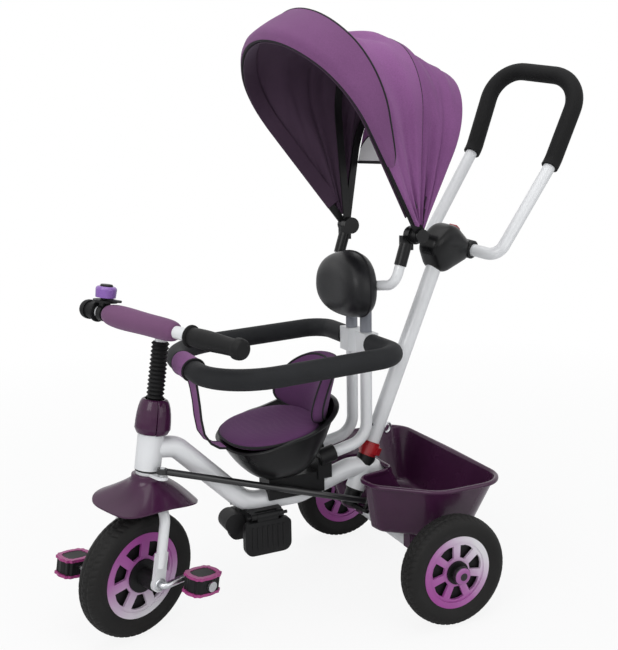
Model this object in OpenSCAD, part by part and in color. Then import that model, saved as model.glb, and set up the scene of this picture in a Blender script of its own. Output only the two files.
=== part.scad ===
// Push-along tricycle for a toddler: steered front wheel with pedals, a push handle
// that steers it through a link, bucket seat with guard rail, head rest, folding hood
// and a rear basket. Front is -Y, the rider's left is +X, the floor is z = 0.

/* [Wheels] */
// Radius of the front wheel over its tread
front_wheel_r = 114; // [106:1:120]
// Width of the front tyre
front_tyre_w = 50; // [44:1:54]
// Radius of the front rim, where the tyre sits
front_rim_r = 78; // [70:1:84]
// Radius of the rear wheels over their tread
rear_wheel_r = 101; // [96:1:108]
// Width of a rear tyre
rear_tyre_w = 46; // [40:1:50]
// Radius of a rear rim, where the tyre sits
rear_rim_r = 67; // [60:1:72]
// Distance from the rear axle to the front axle
wheelbase = 514; // [500:1:530]
// Distance between the middles of the rear wheels
track = 440; // [430:1:460]
// Tread blocks round each tyre
tread_blocks = 24; // [16:2:30]
// Spokes in each wheel
spokes = 7; // [5:1:9]

/* [Steering] */
// Backward lean of the head tube from upright
head_lean = 8.8; // [6:0.2:12]
// Steering angle at which the tricycle stands, to the rider's left
steer_angle = 24; // [0:1:26]
// Length of the head tube
head_len = 72; // [64:1:80]
// Outside radius of the head tube
head_r = 23; // [20:0.5:26]
// Height of the head tube's lower end above the front axle, along the tube
head_base = 190; // [186:1:200]
// Height of the handlebar above the front axle, along the head tube
bar_height = 438; // [425:1:450]
// Half length of the handlebar
bar_half = 200; // [190:1:215]
// Outside radius of the handlebar tube
bar_r = 11; // [9:0.5:13]
// Distance of the fork legs from the wheel's middle
fork_half = 58; // [56:1:62]
// Outside radius of the fork tube
fork_r = 9; // [8:0.5:11]
// Crank length, axle to pedal
crank_len = 52; // [44:1:58]
// Angle of the left crank above the rearward direction
crank_angle = 13; // [0:1:40]
// Length of the steering arms on the fork and on the push column
arm_len = 38; // [34:1:44]
// Ribs on the handlebar bellows
bellows_ribs = 15; // [8:1:20]

/* [Push handle] */
// Backward lean of the push column from upright
column_lean = 22.8; // [20:0.2:26]
// Outside radius of the lower push tube
push_r = 15; // [13:0.5:17]
// Length of the lower push tube, from its foot to the joint box
push_len = 362; // [340:1:390]
// Outside radius of the handle loop's tube
loop_r = 12; // [10:0.5:13]
// Half width of the handle loop
loop_half = 99; // [90:1:110]
// Outside radius of the foam on the handle loop
loop_foam_r = 17; // [15:0.5:19]

/* [Frame] */
// Outside radius of the main frame tube
main_r = 19; // [17:0.5:21]
// Wall of the frame tubes
tube_wall = 2; // [1.5:0.1:3]
// Height of the frame tube's low point
belly_z = 206; // [200:1:212]
// Height of the frame tube's hump ahead of the rear axle
hump_z = 238; // [232:1:242]
// Outside radius of the rear axle tube
axle_tube_r = 16; // [14:0.5:18]
// Radius of the rear axle rod
axle_r = 5; // [4:0.5:6]

/* [Seat] */
// Half width of the seat shell at its rim
seat_half = 106; // [98:1:110]
// Height of the seat shell's rim at its front
seat_front_z = 322; // [316:1:328]
// Height of the seat shell's rim at its rear corners
seat_rear_z = 392; // [380:1:400]
// Height of the seat back's top edge
back_top_z = 466; // [456:1:468]
// Outside radius of the seat posts
post_r = 11; // [10:0.5:12]
// Half distance between the two seat posts
post_half = 28; // [25:1:32]
// Half width of the guard rail loop, at the middle of its tube
rail_half = 158; // [150:1:166]
// Outside radius of the guard rail's foam
rail_foam_r = 18; // [15:0.5:20]
// Radius of the guard rail's steel core
rail_core_r = 9; // [7:0.5:11]
// Height of the guard rail
rail_z = 487; // [484:1:494]

/* [Head rest and hood] */
// Width of the head rest
rest_w = 164; // [130:1:170]
// Height of the head rest
rest_h = 118; // [100:1:124]
// Half distance between the hood's two hinges
hinge_half = 130; // [122:1:138]
// Height of the hood's hinges
hinge_z = 690; // [680:1:700]
// Lean of the hood's front hoop ahead of upright
hood_front_angle = 34; // [30:1:40]
// Lean of the hood's middle hoop ahead of upright
hood_mid_angle = 2; // [-4:1:6]
// Lean of the hood's rear hoop ahead of upright
hood_rear_angle = -15; // [-20:1:-12]
// Reach of the front hoop from the hinges
hood_front_reach = 406; // [395:1:415]
// Half width of the front hoop
hood_front_half = 201; // [194:1:208]

/* [Basket] */
// Half width of the basket at its rim
basket_half = 196; // [188:1:204]
// Height of the basket's rim
basket_z = 242; // [238:1:250]
// Depth of the basket
basket_depth = 112; // [100:1:116]
// Wall of the basket
basket_wall = 3; // [2:0.5:4]

/* [Hidden] */
$fn = 48;

// Clearances: running fit of a shaft, gap between moving pieces, gap between fixed curved pieces
run = 0.05;
gap = 0.6;
seat_gap = 0.3;

// Colours
white = "whitesmoke";
gloss_purple = "#3d1233";
cloth_purple = "#6b3a70";
black = "#1c1b1e";
foam_grey = "#3a393c";
rim_pink = "#a94fa9";
steel = "silver";

// Shift along Y that puts the origin under the middle of the whole object
origin_y = 111.4;

// Front wheel axle and head tube frame: the steered wheel leans, so its axle height allows for that
base_share = wheelbase / 514;
tread_half = 9;
camber = asin(sin(steer_angle) * sin(head_lean));
front_axle = [0, -wheelbase, front_wheel_r * cos(camber) + tread_half * sin(camber)];
head_top = head_base + head_len;
cover_top = head_top + 52;
steerer_r = 12.5;
bar_forward = 8;
arm_plate = 5;

// Push column frame: a point on its axis and stations along it from that point
column_foot = [0, -33, 303];
socket_top = -67;
socket_low = -118;
shaft_r = 11;
column_arm_z = -152;
sleeve_h = 17;
push_top = push_len;
box_pivot = [0, 71, 396];
box_half = 27;

// Frame tube corners, from the head tube to the rear axle
head_weld = head_base + 38;
axle_z = rear_wheel_r;
socket_r = 17;

// Seat posts and what telescopes in them
post_y = -68;
post_top = rail_z + 19;
post_bore_r = post_r - 1.6;
slide_r = post_bore_r - 0.3;
socket_h = 44;
rail_rear_y = post_y;
rail_front_y = -404 * base_share;

// Hood
hinge_y = -22;
hoop_w = 14;
hoop_t = 4;
cloth_t = 3;
hood_mid_reach = 334;
hood_mid_half = 150;
hood_rear_reach = 296;
hood_rear_half = 168;

// Unit vector, and Euler angles of a frame given by its three axes
function unit(v) = v / norm(v);
function euler(x, y, z) = abs(x.z) > 0.99999
    ? [atan2(-sign(x.z) * y.x, y.y), -90 * sign(x.z), 0]
    : [atan2(y.z, z.z), asin(-x.z), atan2(x.y, x.x)];

// Moves drawn things into the model's own frame
module in_frame() { translate([0, origin_y, 0]) children(); }

// Steered front end: origin on the front axle, z along the head tube, x along the axle
module steered() {
    in_frame() translate(front_axle) rotate([-head_lean, 0, 0]) rotate([0, 0, steer_angle]) children();
}

// Head tube, which doesn't steer
module head_axis() { in_frame() translate(front_axle) rotate([-head_lean, 0, 0]) children(); }

// Push column that turns with the steering, and its fixed socket
module column() {
    in_frame() translate(column_foot) rotate([-column_lean, 0, 0]) rotate([0, 0, steer_angle]) children();
}
module column_axis() { in_frame() translate(column_foot) rotate([-column_lean, 0, 0]) children(); }

// Points of the steered front end and of the push column, in the tricycle's frame
function turn_x(a, p) = [p.x, p.y * cos(a) - p.z * sin(a), p.y * sin(a) + p.z * cos(a)];
function turn_z(a, p) = [p.x * cos(a) - p.y * sin(a), p.x * sin(a) + p.y * cos(a), p.z];
function steered_point(p) = front_axle + turn_x(-head_lean, turn_z(steer_angle, p));
function column_point(p) = column_foot + turn_x(-column_lean, turn_z(steer_angle, p));

// Both sides of the tricycle
module both_sides() { children(); mirror([1, 0, 0]) children(); }

// Ring section of a tube, solid when it has no wall
module ring(r, wall) {
    difference() {
        circle(r);
        if (wall > 0) circle(r - wall);
    }
}

// Straight tube between two points
module rod(a, b, r, wall = 0) {
    d = b - a;
    translate(a) rotate([0, acos(d.z / norm(d)), atan2(d.y, d.x)])
        linear_extrude(norm(d)) ring(r, wall);
}

// Bent tube along points, with a bend radius at its corners, one for all or a list.
// Bends are a hair thicker than the straights, which reach into them, so that the pieces join
weld = 0.4;
hair = 0.03;
module pipe(pts, bend, r, wall = 0, step = hair) {
    n = len(pts);
    radius = [for (i = [0:n - 1]) is_list(bend) ? bend[max(0, min(i - 1, n - 3))] : bend];
    dir = [for (i = [0:n - 2]) unit(pts[i + 1] - pts[i])];
    turn = [for (i = [0:n - 1]) i == 0 || i == n - 1 ? 0 : acos(dir[i - 1] * dir[i])];
    trim = [for (i = [0:n - 1]) radius[i] * tan(turn[i] / 2)];
    for (i = [0:n - 2]) {
        start = trim[i] > 0 ? trim[i] - weld : 0;
        end = trim[i + 1] > 0 ? trim[i + 1] - weld : 0;
        rod(pts[i] + dir[i] * start, pts[i + 1] - dir[i] * end, r, wall);
    }
    for (i = [1:n - 2]) if (turn[i] > 0.01) {
        inward = unit(dir[i] - dir[i - 1] * cos(turn[i]));
        centre = pts[i] - dir[i - 1] * trim[i] + inward * radius[i];
        translate(centre) rotate(euler(-inward, dir[i - 1], cross(dir[i - 1], inward)))
            rotate_extrude(angle = turn[i], $fn = 96) translate([radius[i], 0]) ring(r + step,
                wall > 0 ? wall + 2 * step : 0);
    }
}

// Closed thin shell between an outer and an inner grid of points, rows of equal length
module shell(outer, inner, wrap = false) {
    m = len(outer);
    n = len(outer[0]);
    size = m * n;
    last = wrap ? n : n - 1;
    quad = function(a, b, c, d) [[a, c, b], [a, d, c]];
    points = concat([for (row = outer) each row], [for (row = inner) each row]);
    faces = concat(
        [for (i = [0:m - 2], j = [0:last - 1]) let (k = (j + 1) % n)
            each quad(i * n + j, i * n + k, (i + 1) * n + k, (i + 1) * n + j)],
        [for (i = [0:m - 2], j = [0:last - 1]) let (k = (j + 1) % n, s = size)
            each quad(s + i * n + k, s + i * n + j, s + (i + 1) * n + j, s + (i + 1) * n + k)],
        [for (j = [0:last - 1]) let (k = (j + 1) % n) each quad(size + j, size + k, k, j)],
        [for (j = [0:last - 1]) let (k = (j + 1) % n, e = (m - 1) * n)
            each quad(e + j, e + k, size + e + k, size + e + j)],
        wrap ? [] : [for (i = [0:m - 2]) each quad(i * n, (i + 1) * n, size + (i + 1) * n, size + i * n)],
        wrap ? [] : [for (i = [0:m - 2]) let (a = i * n + n - 1, b = a + n)
            each quad(b, a, size + a, size + b)]
    );
    polyhedron(points = points, faces = faces, convexity = 8);
}

// Closed loft through rings of equal length, capped at both ends
module loft(rings) {
    m = len(rings);
    n = len(rings[0]);
    points = [for (ring_points = rings) each ring_points];
    faces = concat(
        [for (i = [0:m - 2], j = [0:n - 1]) let (k = (j + 1) % n, a = i * n, b = a + n)
            each [[a + j, b + j, b + k], [a + j, b + k, a + k]]],
        [[for (j = [0:n - 1]) j]],
        [[for (j = [n - 1:-1:0]) (m - 1) * n + j]]
    );
    polyhedron(points = points, faces = faces, convexity = 8);
}

// Rounded outline of a super-ellipse: half sizes, and squareness from 2 upward
function super_arc(a, b, power, t) =
    [a * sign(cos(t)) * pow(abs(cos(t)), 2 / power), b * sign(sin(t)) * pow(abs(sin(t)), 2 / power)];

// Box with two rounded ends along x
module bar_plate(length, width, thick) {
    linear_extrude(thick) {
        square([length - width, width], center = true);
        for (s = [-1, 1]) translate([s * (length - width) / 2, 0]) circle(width / 2);
    }
}

// Corners of the main tube, from the head tube to the rear axle
function frame_route() = let (weld = front_axle + head_weld * [0, sin(head_lean), cos(head_lean)]) [
    weld,
    weld + [0, 46, -6],
    [0, -305 * base_share, belly_z],
    [0, -200 * base_share, belly_z],
    [0, -92, hump_z],
    [0, -36, hump_z - 4],
    [0, -2, axle_z]
];
frame_bends = [34, 60, 60, 60, 30];
function axle_tube_half() = track / 2 - rear_tyre_w / 2 - 8;

// Frame: head tube, one bent main tube, rear axle tube, and the push column's socket
module main_frame() {
    color(white) difference() {
        union() {
            in_frame() {
                pipe(frame_route(), frame_bends, main_r, tube_wall);
                rod([-axle_tube_half(), 0, axle_z], [axle_tube_half(), 0, axle_z], axle_tube_r);
            }
            head_axis() translate([0, 0, head_base]) cylinder(h = head_len, r = head_r);
            column_axis() translate([0, 0, socket_low])
                cylinder(h = socket_top - socket_low, r = socket_r + 2);
        }
        head_axis() translate([0, 0, head_base - 1]) cylinder(h = head_len + 2, r = head_r - 4);
        column_axis() translate([0, 0, socket_low - 1])
            cylinder(h = socket_top - socket_low + 2, r = socket_r - 1);
        column_axis() translate([0, 0, socket_top]) cylinder(h = 40, r = socket_r + 1 + gap);
        in_frame() rod([-track, 0, axle_z], [track, 0, axle_z], axle_r + run);
    }
}

// Plastic bushes: two in the head tube, two in the push column's socket
module steering_bushes() {
    flange = 3;
    color(black) {
        head_axis() for (end = [0, 1]) translate([0, 0, end ? head_top : head_base]) mirror([0, 0, end])
            difference() {
                union() {
                    translate([0, 0, -flange]) cylinder(h = flange, r = head_r - 1);
                    cylinder(h = 14, r = head_r - 4);
                }
                translate([0, 0, -flange - 1]) cylinder(h = 20, r = steerer_r + run);
            }
        column_axis() for (end = [0, 1]) translate([0, 0, end ? socket_top : socket_low])
            mirror([0, 0, end])
            difference() {
                rise = end ? sleeve_h : flange;
                union() {
                    translate([0, 0, -rise]) cylinder(h = rise, r = socket_r + 1);
                    cylinder(h = 16, r = socket_r - 1);
                }
                translate([0, 0, -rise - 1]) cylinder(h = rise + 18, r = shaft_r + run);
            }
    }
}

// Two-part bell cover over the head tube's top: the rear half stands a little wider
module head_cover() {
    wall = 2.5;
    skirt = 8;
    module half(extra) {
        base_r = head_r + seat_gap + wall + extra;
        top_r = 17 + wall;
        rise = cover_top - head_top;
        curve = [for (t = [0:15:90]) [top_r + (base_r + 4 - top_r) * cos(t), rise * sin(t)]];
        inner = [for (t = [75:-15:0]) [top_r - wall + (base_r + 4 - top_r) * cos(t), (rise - wall)
            * sin(t)]];
        rotate_extrude(angle = 180, $fn = 96)
            polygon(concat([[base_r, -skirt]], curve, [[top_r - wall, rise]], inner,
                [[base_r - wall, -skirt]]));
    }
    color(gloss_purple) head_axis() translate([0, 0, head_top]) {
        rotate([0, 0, 180]) translate([0, 0.1, 0]) half(0);
        translate([0, 0.1, 0]) half(2.5);
    }
}

// Rear axle rod with a cap nut at each end
module rear_axle() {
    end_x = track / 2 + rear_tyre_w / 2 + 4 + gap;
    color(steel) in_frame() {
        rod([-end_x - 4, 0, axle_z], [end_x + 4, 0, axle_z], axle_r);
        both_sides() {
            rod([end_x, 0, axle_z], [end_x + 5, 0, axle_z], axle_r + 4);
            translate([end_x + 5, 0, axle_z]) rotate([0, 90, 0]) cylinder(h = 3, r1 = axle_r + 4,
                r2 = axle_r);
        }
    }
}

// Seat bracket: a saddle on the frame tube with a riser that takes the seat posts' feet
seat_base_z = 250;
riser_y = -170 * base_share;
module seat_bracket() {
    riser_d = 32;
    color(black) in_frame() difference() {
        union() {
            translate([-24, riser_y - 98, belly_z]) cube([48, 112, seat_base_z - seat_gap - belly_z]);
            translate([-post_half, riser_y, 236]) cube([2 * post_half, riser_d - 4, 40]);
            both_sides() rod(post_foot() - [0, 11, 2.4], post_foot() + [0, 20, 4.4], post_r + 4.5);
        }
        pipe(frame_route(), frame_bends, main_r + seat_gap);
        both_sides() rod(post_foot() - [0, 0.36, 0.08], post_foot() + [0, 63, 14], post_r + seat_gap);
        translate([-30, riser_y - 130, belly_z - 20]) cube([60, 160, 24]);
    }
}

// Seat shell: a bucket whose rim climbs towards the back corners
shell_wall = 3.5;
seat_y = -240 * base_share;
seat_len = 102;
function seat_rim_z(t) = let (back = (1 + sin(t)) / 2)
    seat_front_z + (seat_rear_z - seat_front_z) * pow(back, 1.4);
function seat_point(t, v, inset) = let (
        grow = pow(v, 0.5),
        at = super_arc((12 + (seat_half - 12) * grow) - inset, (12 + (seat_len - 12) * grow)
            - inset, 2.6, t),
        z = seat_base_z + (seat_rim_z(t) - seat_base_z) * pow(v, 1.25))
    [at.x, seat_y + at.y, z + inset * (1 - v)];
module seat_shell() {
    rows = [0, 0.06, 0.18, 0.34, 0.52, 0.7, 0.86, 1];
    turns = [0:10:350];
    outer = [for (v = rows) [for (t = turns) seat_point(t, v, 0)]];
    lip = [for (t = turns) seat_point(t, 1, -5) + [0, 0, -3]];
    inner = [for (v = rows) [for (t = turns) seat_point(t, v, shell_wall)]];
    color(black) in_frame() shell(concat(outer, [lip]), concat(inner, [[for (t = turns)
        seat_point(t, 1, -4)]]), true);
}

// Seat pad: an oval cushion with a crown and drawn-in sides
pad_y = seat_y - 10;
module seat_pad() {
    levels = [[0.74, 0], [0.93, 8], [1, 16], [0.97, 24], [0.82, 30], [0.5, 34], [0.12, 35.5]];
    rings = [for (level = levels) [for (t = [0:10:350]) let (
        at = super_arc(92 * level[0], 84 * level[0], 2.3, t)) [at.x, pad_y + at.y,
            seat_front_z - 4 + level[1]]]];
    color(cloth_purple) in_frame() loft(rings);
}

// Back pad: a tall curved cushion that leans back above the shell
module back_pad() {
    base = seat_front_z + 34;
    rise = back_top_z - base;
    levels = [[0, 0.84, 0.3], [0.05, 0.95, 0.9], [0.2, 1, 1], [0.5, 0.97, 1], [0.8, 0.9, 1], [0.95,
        0.78, 0.9], [1, 0.6, 0.3]];
    rings = [for (level = levels) let (z = base + rise * level[0], lean = 30 * pow(level[0], 1.6))
        [for (t = [0:15:345]) let (at = super_arc(84 * level[1], 11 * level[2], 2.6, t))
            [at.x, seat_y + 74 + lean + at.y - 0.0028 * at.x * at.x, z]]];
    color(cloth_purple) in_frame() loft(rings);
}

// Seat posts: two bent tubes behind the seat, open at the top for the head rest's tubes
function post_foot() = [post_half, riser_y + 12, 280];
module seat_posts() {
    color(white) in_frame() both_sides()
        pipe([post_foot(), [post_half, post_y, 300], [post_half, post_y, post_top]], 40, post_r,
            post_r - post_bore_r);
}

// Square sockets on the posts that take the guard rail's ends
module post_sockets() {
    in_x = post_half - post_r - 2;
    out_x = post_half + post_r + 11;
    color(white) in_frame() both_sides() difference() {
        translate([in_x, post_y - 14, post_top - socket_h]) cube([out_x - in_x, 28, socket_h]);
        translate([post_half, post_y, 0]) cylinder(h = post_top + 1, r = post_r + 0.1);
        rod([rail_end_x(), rail_rear_y, rail_z], [out_x + 1, rail_rear_y, rail_z], rail_core_r + 0.1);
    }
}

// Guard rail: a steel loop round the child, covered with foam
function rail_end_x() = post_half + post_r + 1;
function rail_route(start_x) = let (front_z = rail_z - 14) [
    [start_x, rail_rear_y, rail_z],
    [rail_half, rail_rear_y, rail_z],
    [rail_half, rail_front_y, front_z],
    [-rail_half, rail_front_y, front_z],
    [-rail_half, rail_rear_y, rail_z],
    [-start_x, rail_rear_y, rail_z]
];
rail_bends = [44, 104, 104, 44];
module rail_core() { color(steel) in_frame() pipe(rail_route(rail_end_x()), rail_bends,
    rail_core_r, 1.5); }
module rail_foam() {
    color(foam_grey) in_frame() pipe(rail_route(post_half + post_r + 12), rail_bends,
        rail_foam_r, rail_foam_r - rail_core_r - 0.6, 0.3);
}

// Crotch strap: a sleeve on the guard rail's front and a band down to the seat's front edge
module crotch_strap() {
    half = 32;
    band = 19;
    cloth = 3;
    front_z = rail_z - 14;
    sleeve_r = rail_foam_r + seat_gap;
    rail = [rail_front_y, front_z];
    side = [
        rail + (sleeve_r + 0.5) * [cos(-58), sin(-58)],
        rail + [14, -60],
        rail + [20, -118],
        [seat_y - seat_len - 16, seat_front_z - 1],
        [seat_y - seat_len - 6.5, seat_front_z + 3]
    ];
    color(cloth_purple) in_frame() {
        difference() {
            rod([-half, rail.x, rail.y], [half, rail.x, rail.y], sleeve_r + cloth);
            rod([-half - 1, rail.x, rail.y], [half + 1, rail.x, rail.y], sleeve_r);
        }
        translate([-band, 0, 0]) rotate([90, 0, 90]) linear_extrude(2 * band)
            polygon(concat(side, [for (i = [len(side) - 1:-1:0]) side[i] + [-cloth * 0.8,
                -cloth * 0.6]]));
    }
}

// Corner arcs of a rounded outline: each corner is [x, y, radius]
function rounded(corners, steps) = let (n = len(corners)) [for (i = [0:n - 1]) let (
        p = [corners[i].x, corners[i].y],
        before = corners[(i + n - 1) % n],
        after = corners[(i + 1) % n],
        a = unit([before.x, before.y] - p),
        b = unit([after.x, after.y] - p),
        half = acos(a * b) / 2,
        middle = p + unit(a + b) * corners[i].z / sin(half),
        from = p + a * corners[i].z / tan(half) - middle,
        side = sign(a.x * b.y - a.y * b.x))
    for (s = [0:steps]) let (turn = side * (2 * half - 180) * s / steps)
        middle + [from.x * cos(turn) - from.y * sin(turn), from.x * sin(turn) + from.y * cos(turn)]];

// Rear basket: a tapered tub with a rolled rim, notched round the push column, on two axle saddles
basket_mid_y = 34;
module basket() {
    floor_z = basket_z - basket_depth;
    right = [[46, 22, 22], [62, -104, 24], [114, -98, 36], [basket_half, -12, 64], [basket_half,
        132, 56]];
    corners = concat(right, [for (i = [4:-1:0]) [-right[i].x, right[i].y, right[i].z]]);
    rim = rounded(corners, 4);
    at = function(share_x, share_y, grow, z) [for (p = rim) let (out = unit([p.x, p.y - basket_mid_y]))
        [p.x * share_x + grow * out.x, basket_mid_y + (p.y - basket_mid_y) * share_y + grow * out.y, z]];
    low = [0.74, 0.8];
    share = function(v) [low.x + (1 - low.x) * v, low.y + (1 - low.y) * v];
    rows = [0, 0.12, 0.5, 1];
    outer = concat([at(low.x * 0.9, low.y * 0.9, 0, floor_z)],
        [for (v = rows) let (s = share(v)) at(s.x, s.y, 0, floor_z + 6 + (basket_depth - 12) * v)],
        [at(1, 1, 7, basket_z - 7), at(1, 1, 8.5, basket_z - 2), at(1, 1, 5, basket_z)]);
    inner = concat([at(low.x * 0.9, low.y * 0.9, -basket_wall, floor_z + basket_wall)],
        [for (v = rows) let (s = share(v)) at(s.x, s.y, -basket_wall,
            floor_z + 7 + basket_wall + (basket_depth - 14) * v)],
        [at(1, 1, -1, basket_z - 3), at(1, 1, 1, basket_z - 1.2), at(1, 1, 3, basket_z)]);
    hole = [for (p = outer[0]) [p.x * 0.04, basket_mid_y + (p.y - basket_mid_y) * 0.04, floor_z]];
    drain = [for (p = hole) [p.x, p.y, floor_z + basket_wall]];
    color(gloss_purple) in_frame() {
        shell(concat([hole], outer), concat([drain], inner), true);
        both_sides() difference() {
            translate([86, -axle_tube_r - 5, axle_z - 4]) cube([22, 2 * axle_tube_r + 10,
                floor_z - seat_gap - axle_z + 4]);
            rod([0, 0, axle_z], [track, 0, axle_z], axle_tube_r + seat_gap);
        }
    }
}

// Bracket under the frame tube: a saddle block, a round boss in front and ears for the foot rests
foot_y = -326 * base_share;
foot_len = 90;
foot_x = 42;
foot_z = 192;
foot_pin_r = 3;
module footrest_bracket() {
    block_half = 32;
    color(black) in_frame() difference() {
        union() {
            translate([-block_half, foot_y + 12, foot_z - 14]) cube([2 * block_half, foot_len - 24, 20]);
            rod([-20, foot_y - 8, foot_z - 16], [20, foot_y - 8, foot_z - 16], 19);
            translate([-14, foot_y - 8, foot_z - 26]) cube([28, 40, 22]);
            both_sides() for (y = [foot_y + 14, foot_y + foot_len - 24])
                translate([block_half - 4, y, foot_z - 6]) cube([foot_x - block_half + 4, 10, 12]);
            both_sides() for (y = [foot_y + 14, foot_y + foot_len - 24])
                rod([foot_x, y, foot_z], [foot_x, y + 10, foot_z], 6);
        }
        pipe(frame_route(), frame_bends, main_r + seat_gap);
        both_sides() rod([foot_x, foot_y, foot_z], [foot_x, foot_y + foot_len, foot_z], foot_pin_r + run);
    }
}

// Fork: one bent tube over the wheel, flat feet, the steerer, and the steering arm with its pin
spindle_r = 6;
pin_r = 4;
stem_r = 10.3;
crown_z = 140;
module fork() {
    arm_z = head_base - 9;
    color(white) steered() difference() {
        union() {
            pipe([[fork_half, 0, 30], [fork_half, 0, crown_z], [-fork_half, 0, crown_z],
                [-fork_half, 0, 30]],
                34, fork_r, 1.8);
            both_sides() {
                translate([fork_half - 4, -12, 0]) cube([8, 24, 56]);
                rod([fork_half - 4, 0, 0], [fork_half + 4, 0, 0], 14);
            }
            translate([0, 0, crown_z - 4]) cylinder(h = head_top + 20 - crown_z, r = steerer_r);
            translate([0, 0, arm_z]) linear_extrude(arm_plate) {
                translate([0, -11]) square([arm_len, 22]);
                translate([arm_len, 0]) circle(11);
                circle(20);
            }
            translate([arm_len, 0, arm_z]) cylinder(h = arm_plate + 15, r = pin_r);
        }
        translate([0, 0, crown_z + 12]) cylinder(h = head_top, r = stem_r + 0.2);
        rod([-90, 0, 0], [90, 0, 0], spindle_r + run);
    }
}

// Fender: a winged shell under the steering arm, blunt and flared in front, long and domed behind
module fender() {
    top_z = head_base - 9 - seat_gap;
    collar = 27;
    wall = 2.5;
    edge = function(t) super_arc(74, sin(t) < 0 ? 80 : 105, sin(t) < 0 ? 3.4 : 2.1, t);
    at = function(t, s, drop) let (
            e = edge(t),
            far = norm(e),
            r = collar + (far - collar) * s,
            edge_z = top_z - 40 - 14 * pow(abs(sin(t)), 1.5),
            z = edge_z + (top_z - 7 - edge_z) * (1 - pow(s, 0.55 + 0.9 * pow((1 + sin(t)) / 2, 1.5))))
        [e.x / far * r, e.y / far * r, z - drop];
    turns = [350:-10:0];
    rows = [0, 0.12, 0.28, 0.46, 0.64, 0.82, 1];
    cap = function(r, z) [for (t = turns) let (e = unit(edge(t))) [e.x * r, e.y * r, z]];
    outer = concat([cap(15, top_z), cap(collar - 2, top_z), cap(collar, top_z - 2)],
        [for (s = rows) [for (t = turns) at(t, s, 0)]]);
    inner = concat([cap(15, top_z - wall), cap(collar - 2.5, top_z - wall), cap(collar - wall,
        top_z - wall - 2)],
        [for (s = rows) [for (t = turns) at(t, s, wall)]]);
    color(gloss_purple) steered() shell(outer, inner, true);
}

// Handlebar: a straight bar on a stem that goes down into the steerer
module handlebar() {
    wall = 1.8;
    color(white) steered() difference() {
        union() {
            rod([-bar_half, -bar_forward, bar_height], [bar_half, -bar_forward, bar_height], bar_r);
            translate([0, 0, crown_z + 40]) cylinder(h = bar_height - crown_z - 40, r = stem_r);
        }
        rod([-bar_half - 1, -bar_forward, bar_height], [bar_half + 1, -bar_forward, bar_height],
            bar_r - wall);
        translate([0, 0, crown_z + 39]) cylinder(h = bar_height - crown_z - 60, r = stem_r - wall);
    }
}

// Ribbed bellows round the stem
bellows_top = bar_height - 24;
module bellows() {
    low = cover_top - 8;
    pitch = (bellows_top - low) / bellows_ribs;
    ribs = [for (i = [0:bellows_ribs - 1]) each [[12.4, low + pitch * i], [15.6,
        low + pitch * (i + 0.5)]]];
    color(black) steered() rotate_extrude()
        polygon(concat([[stem_r + seat_gap, low]], ribs, [[12.4, bellows_top], [stem_r + seat_gap,
            bellows_top]]));
}

// Turned shape along the handlebar: radii at stations along x, bored for the bar
module on_bar(stations, bore, tint = black, cap = 0) {
    first = stations[0][0];
    last = stations[len(stations) - 1][0];
    inside = cap > 0 ? [[0, last], [0, cap], [bore, cap], [bore, first]] : [[bore, last], [bore, first]];
    color(tint) steered() translate([0, -bar_forward, bar_height]) rotate([0, 90, 0]) rotate_extrude()
        polygon(concat([for (p = stations) [p[1], p[0]]], inside));
}

// Soft pad round the middle of the handlebar, open below for the stem
pad_ends = [-139, 42];
module bar_pad() {
    long = pad_ends[1] - pad_ends[0];
    curve = [for (u = [0:0.1:1]) [pad_ends[0] + long * u,
        14 + 5.5 * pow(sin(180 * (0.06 + 0.88 * u)), 0.4)]];
    difference() {
        on_bar(curve, bar_r + seat_gap, cloth_purple);
        steered() translate([0, 0, bar_height - 40]) cylinder(h = 40, r = stem_r + 1);
    }
}

// Hand grips: inner flange, waisted body and a round end
module grip(start) {
    end = bar_half + 5;
    long = end - start;
    body = [for (u = [0:0.1:0.8]) [start + 6 + (long - 22) * u / 0.8, 15.5 + 1.2 * sin(360 * u)
        * (long > 60 ? 1 : 0)]];
    bulb = [for (t = [-20:20:80]) [end - 12 + 12 * sin(t), 12.5 + 5.5 * cos(t)]];
    on_bar(concat([[start, 17.5], [start + 1.5, 19], [start + 4.5, 19], [start + 6, 16]], body,
        bulb, [[end, 12]]),
        bar_r + 0.1, black, bar_half + 0.2);
}
module grip_left() { grip(79); }
module grip_right() { mirror_on_bar() grip(164); }
module mirror_on_bar() {
    steered() mirror([1, 0, 0]) rotate([0, 0, -steer_angle]) rotate([head_lean, 0, 0])
        translate([0, -origin_y, 0] - front_axle) children();
}

// Bell on the right side: a clamp with a base, a dome, and a lever between them
bell_x = -150;
bell_z = bar_height + 20;
module bell_base() {
    color(black) steered() translate([bell_x, -bar_forward, 0]) difference() {
        union() {
            translate([-6, 0, bar_height]) rotate([0, 90, 0]) cylinder(h = 12, r = bar_r + 4);
            translate([-6, -8, bar_height]) cube([12, 16, bell_z - bar_height]);
            translate([0, 0, bell_z]) cylinder(h = 4, r = 22);
            translate([0, 0, bell_z]) cylinder(h = 31, r = 4);
            translate([0, 0, bell_z + 28.9]) cylinder(h = 3, r1 = 12, r2 = 10.5);
        }
        translate([-7, 0, bar_height]) rotate([0, 90, 0]) cylinder(h = 14, r = bar_r + 0.1);
    }
}
module bell_dome() {
    crown = [for (t = [0:15:90]) [13.5 + 5.5 * cos(t), 14.5 + 5.5 * sin(t)]];
    color(rim_pink) steered() translate([bell_x, -bar_forward, bell_z + 8.6]) rotate_extrude()
        polygon(concat([[16, 0], [18.2, 0]], crown, [[4.1, 20], [4.1, 17.8]],
            [for (t = [90:-15:0]) [13.3 + 3.5 * cos(t), 14.3 + 3.5 * sin(t)]]));
}
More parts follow.
